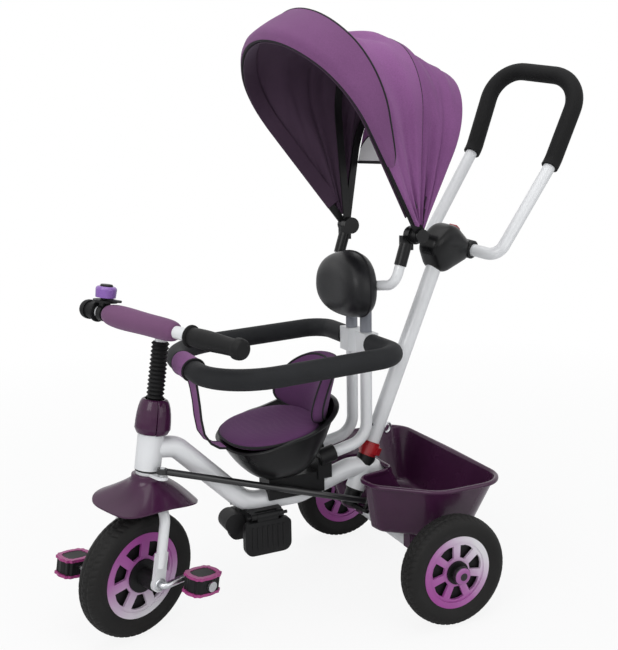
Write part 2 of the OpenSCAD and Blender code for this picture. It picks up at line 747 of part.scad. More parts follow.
module bell_lever() {
    color(black) steered() translate([bell_x, -bar_forward, bell_z + 4 + gap]) difference() {
        linear_extrude(3.4) {
            circle(9);
            translate([0, -5]) square([34, 10]);
            translate([34, 0]) circle(8);
        }
        translate([0, 0, -1]) cylinder(h = 6, r = 4 + run);
    }
}

// Tyre: rounded body with a centre row and two staggered shoulder rows of tread blocks
module toothed(r, inner, width, shift) {
    pitch = 360 / tread_blocks;
    h = pitch * 0.34;
    corner = r / cos(h);
    floor_r = inner + 1;
    linear_extrude(width, center = true) difference() {
        polygon([for (i = [0:tread_blocks - 1]) let (a = pitch * (i + shift)) each [
            floor_r * [cos(a - h), sin(a - h)], corner * [cos(a - h), sin(a - h)],
            corner * [cos(a + h), sin(a + h)], floor_r * [cos(a + h), sin(a + h)]]]);
        circle(inner);
    }
}
module tyre(r, rim_r, w) {
    body_r = r - 4;
    mid = rim_r + 0.45 * (body_r - rim_r);
    curve = [for (t = [-90:15:90]) [mid + (body_r - mid) * pow(max(cos(t), 0), 0.8),
        w / 2 * sign(sin(t)) * pow(abs(sin(t)), 0.9)]];
    color(black) rotate([0, 90, 0]) {
        rotate_extrude($fn = 96) polygon(concat([[rim_r, -0.35 * w]], curve, [[rim_r, 0.35 * w]]));
        toothed(r, body_r - 4, 2 * tread_half, 0);
        for (s = [-1, 1]) translate([0, 0, s * 0.33 * w]) toothed(r - 4.5, body_r - 12, 0.16 * w, 0.5);
    }
}

// Rim: a ring with a spoked face on each side, its windows closed by the hub's web
module wheel_rim(rim_r, w, hub_r) {
    half = 0.36 * w;
    low = hub_r + 6;
    high = rim_r - 17;
    step = 360 / spokes;
    color(rim_pink) rotate([0, 90, 0]) {
        difference() {
            cylinder(h = 2 * half, r = rim_r - 0.1, center = true, $fn = 96);
            cylinder(h = 2 * half + 1, r = rim_r - 11, center = true, $fn = 96);
        }
        for (s = [-1, 1]) translate([0, 0, s * (half - 5)]) linear_extrude(5, center = true)
            difference() {
            circle(rim_r - 10.5);
            circle(hub_r + 0.1);
            for (i = [0:spokes - 1]) rotate(step * i) polygon([
                low * [cos(step * 0.24), -sin(step * 0.24)], high * [cos(step * 0.34), -sin(step * 0.34)],
                high * [cos(step * 0.12), -sin(step * 0.12)] + [1.5, 0], high * [cos(step * 0.12),
                    sin(step * 0.12)] + [1.5, 0],
                high * [cos(step * 0.34), sin(step * 0.34)], low * [cos(step * 0.24), sin(step * 0.24)]]);
        }
    }
}

// Hub: barrel, closing web and end rings
module wheel_hub(rim_r, w, hub_r, half, bore) {
    color(black) rotate([0, 90, 0]) difference() {
        union() {
            cylinder(h = 2 * (0.36 * w + 2), r = hub_r, center = true);
            cylinder(h = 10, r = rim_r - 11.1, center = true, $fn = 96);
            cylinder(h = 2 * half, r = min(hub_r - 7, 16), center = true);
        }
        cylinder(h = 2 * half + 2, r = bore, center = true);
    }
}

hub_r = 21;
front_hub_r = 30;
// The front tyre is spun so that a tread block stands on the floor
front_spin = atan(tan(head_lean) * cos(steer_angle));
module front_tyre() { steered() rotate([front_spin, 0, 0]) tyre(front_wheel_r, front_rim_r,
    front_tyre_w); }
module front_rim() { steered() wheel_rim(front_rim_r, front_tyre_w, front_hub_r); }
module front_hub() { steered() wheel_hub(front_rim_r, front_tyre_w, front_hub_r,
    fork_half - 4 - gap, spindle_r + 0.02); }

// Rear wheels on the ends of the axle
module rear_at(side) { in_frame() translate([side * track / 2, 0, axle_z]) children(); }
rear_hub_half = rear_tyre_w / 2 + 4;
module rear_tyre_left() { rear_at(1) tyre(rear_wheel_r, rear_rim_r, rear_tyre_w); }
module rear_rim_left() { rear_at(1) wheel_rim(rear_rim_r, rear_tyre_w, hub_r); }
module rear_hub_left() { rear_at(1) wheel_hub(rear_rim_r, rear_tyre_w, hub_r, rear_hub_half,
    axle_r + run); }
module rear_tyre_right() { rear_at(-1) tyre(rear_wheel_r, rear_rim_r, rear_tyre_w); }
module rear_rim_right() { rear_at(-1) wheel_rim(rear_rim_r, rear_tyre_w, hub_r); }
module rear_hub_right() { rear_at(-1) wheel_hub(rear_rim_r, rear_tyre_w, hub_r, rear_hub_half,
    axle_r + run); }

// Crank axle: one bent rod through the wheel, a crank and a pedal spindle at each end
crank_x = 73;
pedal_x = 112;
pedal_half = 23;
module crank_axle() {
    end = pedal_x + pedal_half + gap;
    color(steel) steered() rotate([crank_angle, 0, 0]) {
        pipe([[end + 2, crank_len, 0], [crank_x + 8, crank_len, 0], [crank_x, 0, 0], [-crank_x, 0, 0],
            [-crank_x - 8, -crank_len, 0], [-end - 2, -crank_len, 0]], 8, spindle_r);
        rod([end, crank_len, 0], [end + 4, crank_len, 0], spindle_r + 3);
        rod([-end, -crank_len, 0], [-end - 4, -crank_len, 0], spindle_r + 3);
    }
}

// Pedals: a block on the spindle between two wavy tread plates
function wavy(a, b, wave) = [for (t = [0:7.5:352.5]) let (p = super_arc(a, b, 3.5, t))
    p * (1 + wave * cos(t * 12))];
module pedal_at(side) {
    steered() rotate([crank_angle, 0, 0]) translate([side * pedal_x, side * crank_len, 0])
        rotate([-crank_angle, 0, 0])
        children();
}
module pedal_core(side) {
    color(black) pedal_at(side) difference() {
        union() {
            linear_extrude(24, center = true) polygon(wavy(pedal_half - 1, 28, 0.035));
            linear_extrude(33, center = true) polygon(wavy(pedal_half - 8, 21, 0.03));
        }
        rotate([0, 90, 0]) cylinder(h = 80, r = spindle_r + run, center = true);
    }
}
// Wavy frames round the treads, one above and one below
module pedal_plates(side) {
    color(rim_pink) pedal_at(side) for (s = [-1, 1]) translate([0, 0, s * 14.7])
        linear_extrude(5, center = true) difference() {
            polygon(wavy(pedal_half, 31, 0.04));
            polygon(wavy(pedal_half - 7, 22.5, 0.03));
        }
}
module pedal_left() { pedal_core(1); }
module pedal_left_rims() { pedal_plates(1); }
module pedal_right() { pedal_core(-1); }
module pedal_right_rims() { pedal_plates(-1); }

// Push tube with its shaft, which turns in the frame's socket
pin_z = 10;
lock_r = 3;
module push_tube() {
    color(white) column() difference() {
        union() {
            translate([0, 0, -22]) cylinder(h = push_top + 22, r = push_r);
            translate([0, 0, column_arm_z]) cylinder(h = -column_arm_z, r = shaft_r);
        }
        translate([0, 0, 2]) cylinder(h = push_top, r = push_r - 2);
        translate([0, 0, pin_z]) rotate([90, 0, 0]) cylinder(h = 60, r = lock_r + run, center = true);
    }
}

// Red collar on the shaft that couples the push handle to the steering
module clutch_collar() {
    low = socket_top + sleeve_h + gap;
    high = -22 - gap;
    color("#9c1420") column() difference() {
        union() {
            translate([0, 0, low]) cylinder(h = high - low, r = 17);
            translate([0, 0, low + 5]) cylinder(h = high - low - 10, r = 19);
            translate([14, -6, low + 6]) cube([10, 12, high - low - 12]);
        }
        translate([0, 0, low - 1]) cylinder(h = high - low + 2, r = shaft_r + run);
    }
}

// Steering arm on the foot of the push column
module column_arm() {
    high = socket_low - 3 - gap;
    color(black) column() difference() {
        union() {
            translate([0, 0, column_arm_z]) cylinder(h = high - column_arm_z, r = 16);
            translate([0, 0, column_arm_z]) linear_extrude(6) {
                translate([0, -9]) square([arm_len, 18]);
                translate([arm_len, 0]) circle(9);
            }
            translate([arm_len, 0, column_arm_z]) cylinder(h = 28, r = pin_r);
        }
        translate([0, 0, column_arm_z - 1]) cylinder(h = 40, r = shaft_r + 0.02);
    }
}

// Steering rod between the two arms: snug on the front pin, loose on the rear one,
// because the two turning axes lean differently and the rear eye rides along its pin
module steering_rod() {
    front_eye = [arm_len, 0, head_base + 5];
    rear_eye = [arm_len, 0, column_arm_z + 21.5];
    color(black) difference() {
        union() {
            in_frame() rod(steered_point(front_eye), column_point(rear_eye), 6);
            steered() translate(front_eye) cylinder(h = 9.4, r = 9, center = true);
            column() translate(rear_eye) cylinder(h = 9, r = 10, center = true);
        }
        steered() translate(front_eye) cylinder(h = 30, r = pin_r + run, center = true);
        column() translate(rear_eye) cylinder(h = 30, r = pin_r + 2.2, center = true);
    }
}

// Spring clip that pins the push tube: a pin with a pull ring
module lock_pin() {
    color(steel) column() translate([0, 0, pin_z]) {
        rod([0, -19, 0], [0, 27, 0], lock_r);
        translate([0, 36, 0]) rotate([0, 90, 0]) rotate_extrude() translate([10, 0]) circle(2.2);
    }
}

// Handle joint: two moulded halves round the push tube's top and the handle's stubs
module joint_box() {
    corners = [[2, 326, 18], [92, 398, 14], [-14, 426, 30], [-58, 368, 18]];
    middle = [8, 384];
    outline = rounded(corners, 6);
    smaller = function(share) [for (p = outline) middle + (p - middle) * share];
    module slab(from, to, share) {
        translate([from, 0, 0]) rotate([90, 0, 90]) linear_extrude(to - from) polygon(smaller(share));
    }
    color(black) column() both_sides() difference() {
        union() {
            slab(0.15, 18, 1);
            slab(17, 22, 0.93);
            translate([0, 4, 388]) rotate([0, 90, 0]) cylinder(h = box_half, r = 24);
            translate([0.15, box_pivot.y, box_pivot.z]) rotate([0, 90, 0])
                cylinder(h = box_half - 0.15, r = 20);
        }
        translate([-0.1, 0, 0]) slab(0, 15, 0.82);
        translate([-0.1, box_pivot.y, box_pivot.z]) rotate([0, 90, 0]) cylinder(h = box_half + 1,
            r = loop_r + run);
        translate([0, 0, 300]) cylinder(h = push_top - 300 + 2, r = push_r + 0.1);
        translate([-8, button_y - 12, 396]) cube([16, 24, 60]);
    }
}

// Handle loop on the joint's axis, and the foam over its upper part
function handle_route(up) = let (
        low = [84, box_pivot.y, box_pivot.z],
        knee = [92, 135, 614],
        top = [loop_half, 129, 785],
        side = up ? [low + (knee - low) * 0.94, knee, top] : [[3, box_pivot.y, box_pivot.z], low,
            knee, top],
        n = len(side))
    concat(side, [for (i = [n - 1:-1:0]) [-side[i].x, side[i].y, side[i].z]]);
module handle_loop() {
    color(white) column() pipe(handle_route(false), [26, 60, 62, 62, 60, 26], loop_r, 1.6, 0.2);
}
module handle_foam() {
    color(black) column() pipe(handle_route(true), [60, 62, 62, 60], loop_foam_r,
        loop_foam_r - loop_r - 0.8, 0.3);
}

// Red button on top of the handle joint
button_y = 22;
module release_button() {
    color("#9c1420") column() translate([-7.4, 0, 0]) rotate([90, 0, 90]) linear_extrude(14.8)
        polygon(rounded([[button_y - 11, 403, 2], [button_y + 11, 403, 2], [button_y + 11, 424, 5],
            [button_y - 11, 428, 5]], 4));
}

// Tubes that slide in the seat posts and carry the hood's hinges
arm_x = 117;
arm_top = [arm_x, -38, hinge_z - 22];
arm_low = post_top + 0.467 * (hinge_z - post_top);
arm_high = post_top + 0.533 * (hinge_z - post_top);
module hood_arms() {
    color(white) in_frame() both_sides()
        pipe([[post_half, post_y, post_top - 86], [post_half, post_y, arm_low], [arm_x, -58,
            arm_high], arm_top],
            26, slide_r, 1.5);
}
module post_sleeves() {
    color("#b4b0b6") in_frame() both_sides() difference() {
        translate([post_half, post_y, post_top + gap]) cylinder(h = 44, r = post_r);
        translate([post_half, post_y, post_top]) cylinder(h = 46, r = slide_r + 0.1);
    }
}

// Black sleeves on the arms with the hinge pins and their caps
eye_t = 5;
function eye_x(i) = hinge_half - 1.4 + i * (eye_t + gap);
function eye_mid(i) = eye_x(i) + eye_t / 2;
module arm_sleeves() {
    along = unit(arm_top - [arm_x, -58, arm_high]);
    color(black) in_frame() both_sides() {
        difference() {
            union() {
                rod(arm_top - along * 32, arm_top + along * 8, 11);
                rod([arm_x - 6, hinge_y, hinge_z], [eye_x(0) - gap, hinge_y, hinge_z], 16);
                translate([arm_x - 6, hinge_y - 24, hinge_z - 26]) cube([12, 22, 26]);
                rod([arm_x, hinge_y, hinge_z], [eye_x(3) + 4, hinge_y, hinge_z], 5);
                rod([eye_x(3), hinge_y, hinge_z], [eye_x(3) + 5, hinge_y, hinge_z], 12);
            }
            rod(arm_top - along * 60, arm_top, slide_r + 0.1);
        }
    }
}

// Head rest: a padded block with drawn-in edges
module head_rest() {
    middle_z = post_top + 0.489 * (hinge_z - post_top);
    back_y = post_y - post_r - 0.6;
    levels = [[0.86, 0], [0.97, -5], [1, -14], [1, -24], [0.94, -34], [0.78, -41], [0.45, -44]];
    rings = [for (level = levels) [for (t = [0:10:350]) let (
        at = super_arc(rest_w / 2 * level[0], rest_h / 2 * level[0], 3.2, t))
            [at.x, back_y + level[1], middle_z + at.y]]];
    color(black) in_frame() loft(rings);
}

// Hood hoop outline in its own plane: straight legs, round shoulders and a flat arched top.
// A hoop is [leg foot x, half width, reach, shoulder height, shoulder radius, lean]
function hoop(i) = [
    [eye_mid(1) - 2.5, hood_rear_half, hood_rear_reach, 0.573 * hood_rear_reach, 0.382 * hood_rear_reach,
        hood_rear_angle],
    [eye_mid(0) - 1.2, hood_mid_half, hood_mid_reach, 0.647 * hood_mid_reach, 0.33 * hood_mid_reach,
        hood_mid_angle],
    [eye_mid(2) - 2.2, hood_front_half, hood_front_reach, 0.627 * hood_front_reach,
        0.299 * hood_front_reach,
        hood_front_angle]
][i];
function hoop_shape(h) = let (
        cx = h[1] - h[4],
        d = h[3] - h[2],
        top_r = (h[4] * h[4] - cx * cx - d * d) / (2 * (d + h[4])),
        far = norm([cx - h[0], h[3]]),
        leg = atan2(h[3], cx - h[0]) - asin(h[4] / far))
    [cx, top_r, sqrt(far * far - h[4] * h[4]), leg, atan2(h[3] - h[2] + top_r, cx)];

// Point on a hoop's outline, u from 0 at the left leg's foot to 1 at the right one, moved out by off
function hoop_half_point(h, s, off) = let (
        f = hoop_shape(h),
        normal = [sin(f[3]), -cos(f[3])],
        corner = f[3] - 90 + (f[4] - f[3] + 90) * (s - 0.3) / 0.3,
        top = f[4] + (90 - f[4]) * (s - 0.6) / 0.4)
    s < 0.3 ? [h[0], 0] + [cos(f[3]), sin(f[3])] * f[2] * s / 0.3 + normal * off
    : s < 0.6 ? [f[0], h[3]] + (h[4] + off) * [cos(corner), sin(corner)]
    : [0, h[2] - f[1]] + (f[1] + off) * [cos(top), sin(top)];
function hoop_point(h, u, off) = let (p = hoop_half_point(h, min(2 * u, 2 - 2 * u), off))
    [u > 0.5 ? -p.x : p.x, p.y];
function lean_point(p, a) = [p.x, hinge_y - p.y * sin(a), hinge_z + p.y * cos(a)];

// Flat strip hoop with an eye on each hinge pin
module hood_hoop(i) {
    h = hoop(i);
    f = hoop_shape(h);
    reach_in = weld / f[1] * 180 / PI;
    color(black) in_frame() translate([0, hinge_y, hinge_z]) rotate([h[5], 0, 0]) rotate([90, 0,
        0]) difference() {
        union() {
            both_sides() {
                translate([h[0], 0]) rotate([0, 0, f[3]]) translate([9, -hoop_t / 2, -hoop_w / 2])
                    cube([f[2] - 9 + weld, hoop_t, hoop_w]);
                translate([f[0], h[3]]) rotate([0, 0, f[3] - 90])
                    rotate_extrude(angle = f[4] - f[3] + 90, $fn = 96)
                    translate([h[4], 0]) square([hoop_t + 2 * hair, hoop_w + 2 * hair], center = true);
                translate([eye_mid([1, 0, 2][i]), 0, 0]) rotate([0, 90, 0]) cylinder(h = eye_t,
                    r = 13, center = true);
            }
            translate([0, h[2] - f[1]]) rotate([0, 0, f[4] - reach_in])
                rotate_extrude(angle = 180 - 2 * (f[4] - reach_in), $fn = 180)
                    translate([f[1], 0]) square([hoop_t, hoop_w], center = true);
        }
        rotate([0, 90, 0]) cylinder(h = 400, r = 5 + run, center = true);
    }
}
module hoop_rear() { hood_hoop(0); }
module hoop_mid() { hood_hoop(1); }
module hoop_front() { hood_hoop(2); }

// Cloth between two hoops: it sags a little and hugs the hoops' outsides
function cloth_point(a, b, u, w, off, sag) = let (
        share = max(0, min(1, w)),
        p = hoop_point(hoop(a), u, off) * (1 - share) + hoop_point(hoop(b), u, off) * share,
        drop = sag * pow(sin(180 * share), 2) * sin(180 * u),
        angle = hoop(a)[5] * (1 - w) + hoop(b)[5] * w)
    lean_point(p * (1 - drop / norm(p)), angle);
cloth_turns = [for (i = [0:36]) 0.045 + 0.91 * i / 36];
cloth_off = hoop_t / 2 + 6;
module hood_roof() {
    off = cloth_off;
    rows = [for (i = [0:8]) 1.04 * i / 8];
    outer = [for (w = rows) [for (u = cloth_turns) cloth_point(1, 2, u, w, off + cloth_t, 9)]];
    inner = [for (w = rows) [for (u = cloth_turns) cloth_point(1, 2, u, w, off, 9)]];
    color(cloth_purple) in_frame() shell(outer, inner);
}

// Back of the hood, with a valance that hangs from the rear hoop
valance = 46;
module hood_back() {
    off = cloth_off + 0.8;
    hang = function(u, s, at) let (p = cloth_point(0, 1, u, -0.15, at, 0), share = pow(max(0,
        sin(180 * u)), 1.6))
        p + [-p.x * 0.02 * s, -8 * s * share, -valance * s * share - 2 * s];
    drops = [1, 0.66, 0.33];
    rows = [for (i = [0:7]) -0.15 + 1.1 * i / 7];
    grid = function(at) concat([for (s = drops) [for (u = cloth_turns) hang(u, s, at)]],
        [for (w = rows) [for (u = cloth_turns) cloth_point(0, 1, u, w, at, 8)]]);
    color(cloth_purple) in_frame() shell(grid(off + cloth_t), grid(off));
}

// Visor: a crescent flap along the front hoop that leans back over the roof
module visor() {
    turns = [for (i = [0:36]) 0.12 + 0.76 * i / 36];
    at = function(u, w, lift) let (
            crest = pow(max(0, sin(180 * (u - 0.12) / 0.76)), 0.5),
            p = hoop_point(hoop(2), u, cloth_off + cloth_t + 1 + lift + 2 * w * crest),
            a = hood_front_angle + 0.8 - (1.5 + 9 * crest) * w)
        lean_point(p, a);
    rows = [for (i = [0:4]) 1 - i / 4];
    outer = [for (w = rows) [for (u = turns) at(u, w, cloth_t)]];
    inner = [for (w = rows) [for (u = turns) at(u, w, 0)]];
    color(cloth_purple) in_frame() shell(outer, inner);
}

// Folding foot rests that hang beside the frame: a ribbed plate on a pin
module footrest(side) {
    mid_y = foot_y + foot_len / 2;
    barrel = foot_len / 2 - 24 - gap;
    color(black) in_frame() mirror([side < 0 ? 1 : 0, 0, 0]) {
        rod([foot_x, foot_y + 6, foot_z], [foot_x, foot_y + foot_len - 6, foot_z], foot_pin_r);
        rod([foot_x, mid_y - barrel, foot_z], [foot_x, mid_y + barrel, foot_z], 6);
        translate([foot_x - 5, mid_y - barrel, foot_z - 12]) cube([10, 2 * barrel, 12]);
        translate([foot_x - 7, 0, 0]) rotate([90, 0, 90]) linear_extrude(13) polygon(rounded([
            [foot_y, foot_z - 72, 16], [foot_y + foot_len, foot_z - 72, 16],
            [foot_y + foot_len, foot_z - 9, 10], [foot_y, foot_z - 9, 10]], 5));
        for (i = [0:6]) translate([foot_x + 5.5, foot_y + 13 + i * 10, foot_z - 60]) cube([1.7, 4, 42]);
    }
}
module footrest_left() { footrest(1); }
module footrest_right() { footrest(-1); }

// Only the asked node is drawn, or all of them
main_frame();
steering_bushes();
head_cover();
rear_axle();
seat_bracket();
seat_shell();
seat_pad();
back_pad();
seat_posts();
post_sockets();
rail_core();
rail_foam();
crotch_strap();
basket();
footrest_bracket();
fork();
fender();
handlebar();
bellows();
bar_pad();
grip_left();
grip_right();
bell_base();
bell_dome();
bell_lever();
front_tyre();
front_rim();
front_hub();
crank_axle();
pedal_left();
pedal_left_rims();
pedal_right();
pedal_right_rims();
rear_tyre_left();
rear_rim_left();
rear_hub_left();
rear_tyre_right();
rear_rim_right();
rear_hub_right();
push_tube();
clutch_collar();
column_arm();
lock_pin();
joint_box();
handle_loop();
handle_foam();
release_button();
steering_rod();
post_sleeves();
hood_arms();
arm_sleeves();
head_rest();
hoop_rear();
hoop_mid();
hoop_front();
hood_roof();
hood_back();
visor();
footrest_left();
footrest_right();
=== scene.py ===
# %% [markdown]
# # A push-along trike for a toddler
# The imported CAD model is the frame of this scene: every tube, wheel and joint is already in its place, in
# metres. Blender adds what a CAD solid can't show: cloth, foam, piping, gloss and grain. The CAD nodes
# are only repainted, never moved. Soft parts, tyres and thin mouldings are modelled anew and stand in for
# their CAD solids.

# %% Load the frame
import math
import bpy
from mathutils import Matrix, Vector


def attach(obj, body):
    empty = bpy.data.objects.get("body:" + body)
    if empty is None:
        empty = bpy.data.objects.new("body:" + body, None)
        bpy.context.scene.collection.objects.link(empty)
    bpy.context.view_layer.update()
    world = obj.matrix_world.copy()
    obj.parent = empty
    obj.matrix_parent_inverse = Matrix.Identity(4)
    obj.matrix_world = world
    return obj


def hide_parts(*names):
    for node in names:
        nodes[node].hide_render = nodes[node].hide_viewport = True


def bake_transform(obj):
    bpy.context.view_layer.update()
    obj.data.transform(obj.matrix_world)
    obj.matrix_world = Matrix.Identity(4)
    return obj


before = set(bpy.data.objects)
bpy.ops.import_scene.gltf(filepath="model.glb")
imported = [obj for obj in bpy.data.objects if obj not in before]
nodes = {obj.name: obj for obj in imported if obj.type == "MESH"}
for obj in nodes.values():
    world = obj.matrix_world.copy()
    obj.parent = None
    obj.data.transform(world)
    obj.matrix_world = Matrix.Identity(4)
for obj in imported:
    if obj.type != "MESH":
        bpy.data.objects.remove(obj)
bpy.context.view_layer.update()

bpy.ops.object.select_all(action="DESELECT")

# %% [markdown]
# The trike was laid out in millimetres, with the rear axle at y = 0 and the front at minus y. Three small
# helpers turn such a point into the scene: as it is, turned with the front fork, or turned with the push
# column. The fork and the column both stand turned by 24 degrees, as in the picture.

# %% Places in millimetres
ORIGIN_Y = 111.4
TURN = math.radians(24)
HEAD_LEAN = math.radians(-8.8)
COLUMN_LEAN = math.radians(-22.8)
FRONT_AXLE = Vector((0, -514, 114.34))
REAR_WHEEL_X, REAR_WHEEL_Z = 220, 101
BAR_Y, BAR_Z = -8, 438
COLUMN_FOOT = Vector((0, -33, 303))
STEERED = Matrix.Rotation(HEAD_LEAN, 3, "X") @ Matrix.Rotation(TURN, 3, "Z")
COLUMN = Matrix.Rotation(COLUMN_LEAN, 3, "X") @ Matrix.Rotation(TURN, 3, "Z")


def mm(point):
    return Vector((point[0] / 1000, (point[1] + ORIGIN_Y) / 1000, point[2] / 1000))


def steered(point):
    return mm(FRONT_AXLE + STEERED @ Vector(point))


def on_column(point):
    return mm(COLUMN_FOOT + COLUMN @ Vector(point))


print("bar centre", steered((0, BAR_Y, BAR_Z)), "column foot", on_column((0, 0, 0)))

# %% [markdown]
# The camera stands where the picture was taken: in front of the trike and to its left, about as high as
# the hood, looking down by 11 degrees. Its lens is worked out from the picture's height of 650 pixels, so
# the frame fits without any shift.

# %% Camera
CAMERA_PLACE = (1530.5, -885.05, 852.5)
VIEW_YAW, VIEW_PITCH, VIEW_ROLL = 2.705, 0.192, -0.018
PICTURE_HIGH, LENS_PIXELS, SENSOR_HIGH = 650, 940.3, 36
level_share = math.cos(VIEW_PITCH)
ahead = Vector((level_share * math.cos(VIEW_YAW), level_share * math.sin(VIEW_YAW), -math.sin(VIEW_PITCH)))
level = ahead.cross(Vector((0, 0, 1))).normalized()
above = level.cross(ahead)
right = math.cos(VIEW_ROLL) * level + math.sin(VIEW_ROLL) * above
upward = -math.sin(VIEW_ROLL) * level + math.cos(VIEW_ROLL) * above
view_turn = Matrix((right, upward, -ahead)).transposed().to_4x4()
bpy.ops.object.camera_add()
camera = bpy.context.object
camera.name = "photo_camera"
camera.matrix_world = Matrix.Translation(mm(CAMERA_PLACE)) @ view_turn
camera.data.sensor_fit = "VERTICAL"
camera.data.sensor_height = SENSOR_HIGH
camera.data.lens = LENS_PIXELS * SENSOR_HIGH / PICTURE_HIGH
camera.data.clip_end = 60
bpy.context.scene.camera = camera
print("camera at", camera.location)

# %% [markdown]
# The studio is a wide pale floor under a white surround, with a large soft lamp overhead, a key lamp in
# front of the trike, higher than the camera, and a weak fill lamp. The surround is white for the camera
# and for reflections, and dimmer as a light source. The floor is nearly white for the camera too: close
# to the trike it keeps a little of its own shading, so that a soft shadow stays, and further off it is
# plain white.

# %% Helpers for shader nodes
scene = bpy.context.scene
scene.view_settings.view_transform = "Standard"


def set_inputs(made, **values):
    for key, value in values.items():
        socket = made.inputs[key.replace("_", " ")]
        if isinstance(value, bpy.types.NodeSocket):
            made.id_data.links.new(value, socket)
        else:
            socket.default_value = value
    return made


def node(tree, kind, **inputs):
    return set_inputs(tree.nodes.new(kind), **inputs)


def combine(tree, operation, first, second):
    math_node = tree.nodes.new("ShaderNodeMath")
    math_node.operation = operation
    for socket, value in zip(math_node.inputs, (first, second)):
        if isinstance(value, float):
            socket.default_value = value
        else:
            tree.links.new(value, socket)
    return math_node.outputs["Value"]


def mix_shaders(tree, share, first, second):
    mixer = tree.nodes.new("ShaderNodeMixShader")
    for socket, source in zip(mixer.inputs, (share, first, second)):
        tree.links.new(source, socket)
    return mixer.outputs["Shader"]


print("node helpers are ready")

# %% Floor
bpy.ops.mesh.primitive_plane_add(size=40, location=(0, 0, -0.0005))
floor = bpy.context.object
floor.name = "studio_floor"
floor_finish = bpy.data.materials.new("pale_floor")
floor_finish.use_nodes = True
tree = floor_finish.node_tree
shader = set_inputs(tree.nodes["Principled BSDF"], Base_Color=(0.9, 0.9, 0.9, 1), Roughness=0.9)
glow = node(tree, "ShaderNodeEmission", Color=(1, 1, 1, 1), Strength=1.0)
path = tree.nodes.new("ShaderNodeLightPath")
place = tree.nodes.new("ShaderNodeTexCoord")
away = tree.nodes.new("ShaderNodeVectorMath")
away.operation = "LENGTH"
tree.links.new(place.outputs["Object"], away.inputs[0])
far = node(tree, "ShaderNodeMapRange", Value=away.outputs["Value"], From_Min=0.5, From_Max=2.4,
           To_Min=0.88, To_Max=1.0)
share = combine(tree, "MULTIPLY", far.outputs["Result"], path.outputs["Is Camera Ray"])
mixed = mix_shaders(tree, share, shader.outputs["BSDF"], glow.outputs["Emission"])
set_inputs(tree.nodes["Material Output"], Surface=mixed)
floor.data.materials.append(floor_finish)
print("floor", floor.name)

# %% Surround
world = bpy.data.worlds.new("white_surround")
scene.world = world
world.use_nodes = True
tree = world.node_tree
background = set_inputs(tree.nodes["Background"], Color=(0.95, 0.97, 1.0, 1), Strength=0.42)
white = node(tree, "ShaderNodeBackground", Color=(1, 1, 1, 1), Strength=1.0)
path = tree.nodes.new("ShaderNodeLightPath")
seen = combine(tree, "MAXIMUM", path.outputs["Is Camera Ray"], path.outputs["Is Glossy Ray"])
seen = combine(tree, "MAXIMUM", seen, path.outputs["Is Transmission Ray"])
mixed = mix_shaders(tree, seen, background.outputs["Background"], white.outputs["Background"])
set_inputs(tree.nodes["World Output"], Surface=mixed)
print("surround", world.name)

# %% Lamps
def soft_lamp(name, place, target, size, power):
    bpy.ops.object.light_add(type="AREA", location=place)
    lamp = bpy.context.object
    lamp.name = name
    lamp.data.size = size
    lamp.data.energy = power
    lamp.rotation_euler = (Vector(target) - Vector(place)).to_track_quat("-Z", "Y").to_euler()


soft_lamp("overhead_softbox", (0.2, -0.2, 3.0), (0, 0, 0.4), size=2.6, power=31)
soft_lamp("key_softbox", (1.7, -2.3, 2.1), (0, 0, 0.5), size=1.6, power=30)
soft_lamp("fill_softbox", (2.4, 1.4, 1.2), (0, 0.1, 0.5), size=1.8, power=11)
print("three soft lamps")

# %% [markdown]
# ## Finishes
# Every finish starts from the Principled shader and reads Object coordinates, which are metres here. A
# noise texture gives the slow change of tone that moulded, painted or woven things have, and a second,
# finer one gives the relief. A wave texture of scale 1 repeats every 0.314 m, so the scale of a weave is
# that length over the thread's. Numbers that are the same everywhere are typed straight into the shader.

# %% Helpers for finishes
WAVE_LENGTH = 0.314159


def start_finish(name):
    material = bpy.data.materials.new(name)
    material.use_nodes = True
    tree = material.node_tree
    place = tree.nodes.new("ShaderNodeTexCoord")
    return material, tree, tree.nodes["Principled BSDF"], place


def speckle(tree, source, scale, detail=3.0):
    made = node(tree, "ShaderNodeTexNoise", Vector=source, Scale=scale, Detail=detail, Roughness=0.55)
    return made.outputs["Fac"]


def shade(tree, factor, stops):
    ramp = node(tree, "ShaderNodeValToRGB", Fac=factor)
    elements = ramp.color_ramp.elements
    for end, (position, colour) in ((0, stops[0]), (1, stops[-1])):
        elements[end].position = position
        elements[end].color = (*colour, 1)
    for position, colour in stops[1:-1]:
        elements.new(position).color = (*colour, 1)
    return ramp.outputs["Color"]


def spread(tree, factor, low, high, start=0.3, end=0.7):
    ranged = node(tree, "ShaderNodeMapRange", Value=factor, From_Min=start, From_Max=end,
                  To_Min=low, To_Max=high)
    return ranged.outputs["Result"]


def relief(tree, shader, height, strength, distance):
    bump = node(tree, "ShaderNodeBump", Strength=strength, Distance=distance, Height=height)
    set_inputs(shader, Normal=bump.outputs["Normal"])


def stripes(tree, source, axis, period):
    wave = node(tree, "ShaderNodeTexWave", Vector=source, Scale=WAVE_LENGTH / period, Distortion=0.0)
    wave.wave_type = "BANDS"
    wave.bands_direction = axis
    wave.wave_profile = "SIN"
    return wave.outputs["Fac"]


print("finish helpers are ready")

# %% [markdown]
# ### Hard finishes
# Paint and moulded plastic differ mostly in how they shine. Paint has a clear coat with a faint
# orange-peel relief. Moulded plastic is smoother or finely grained, and each part varies a little in
# tone.

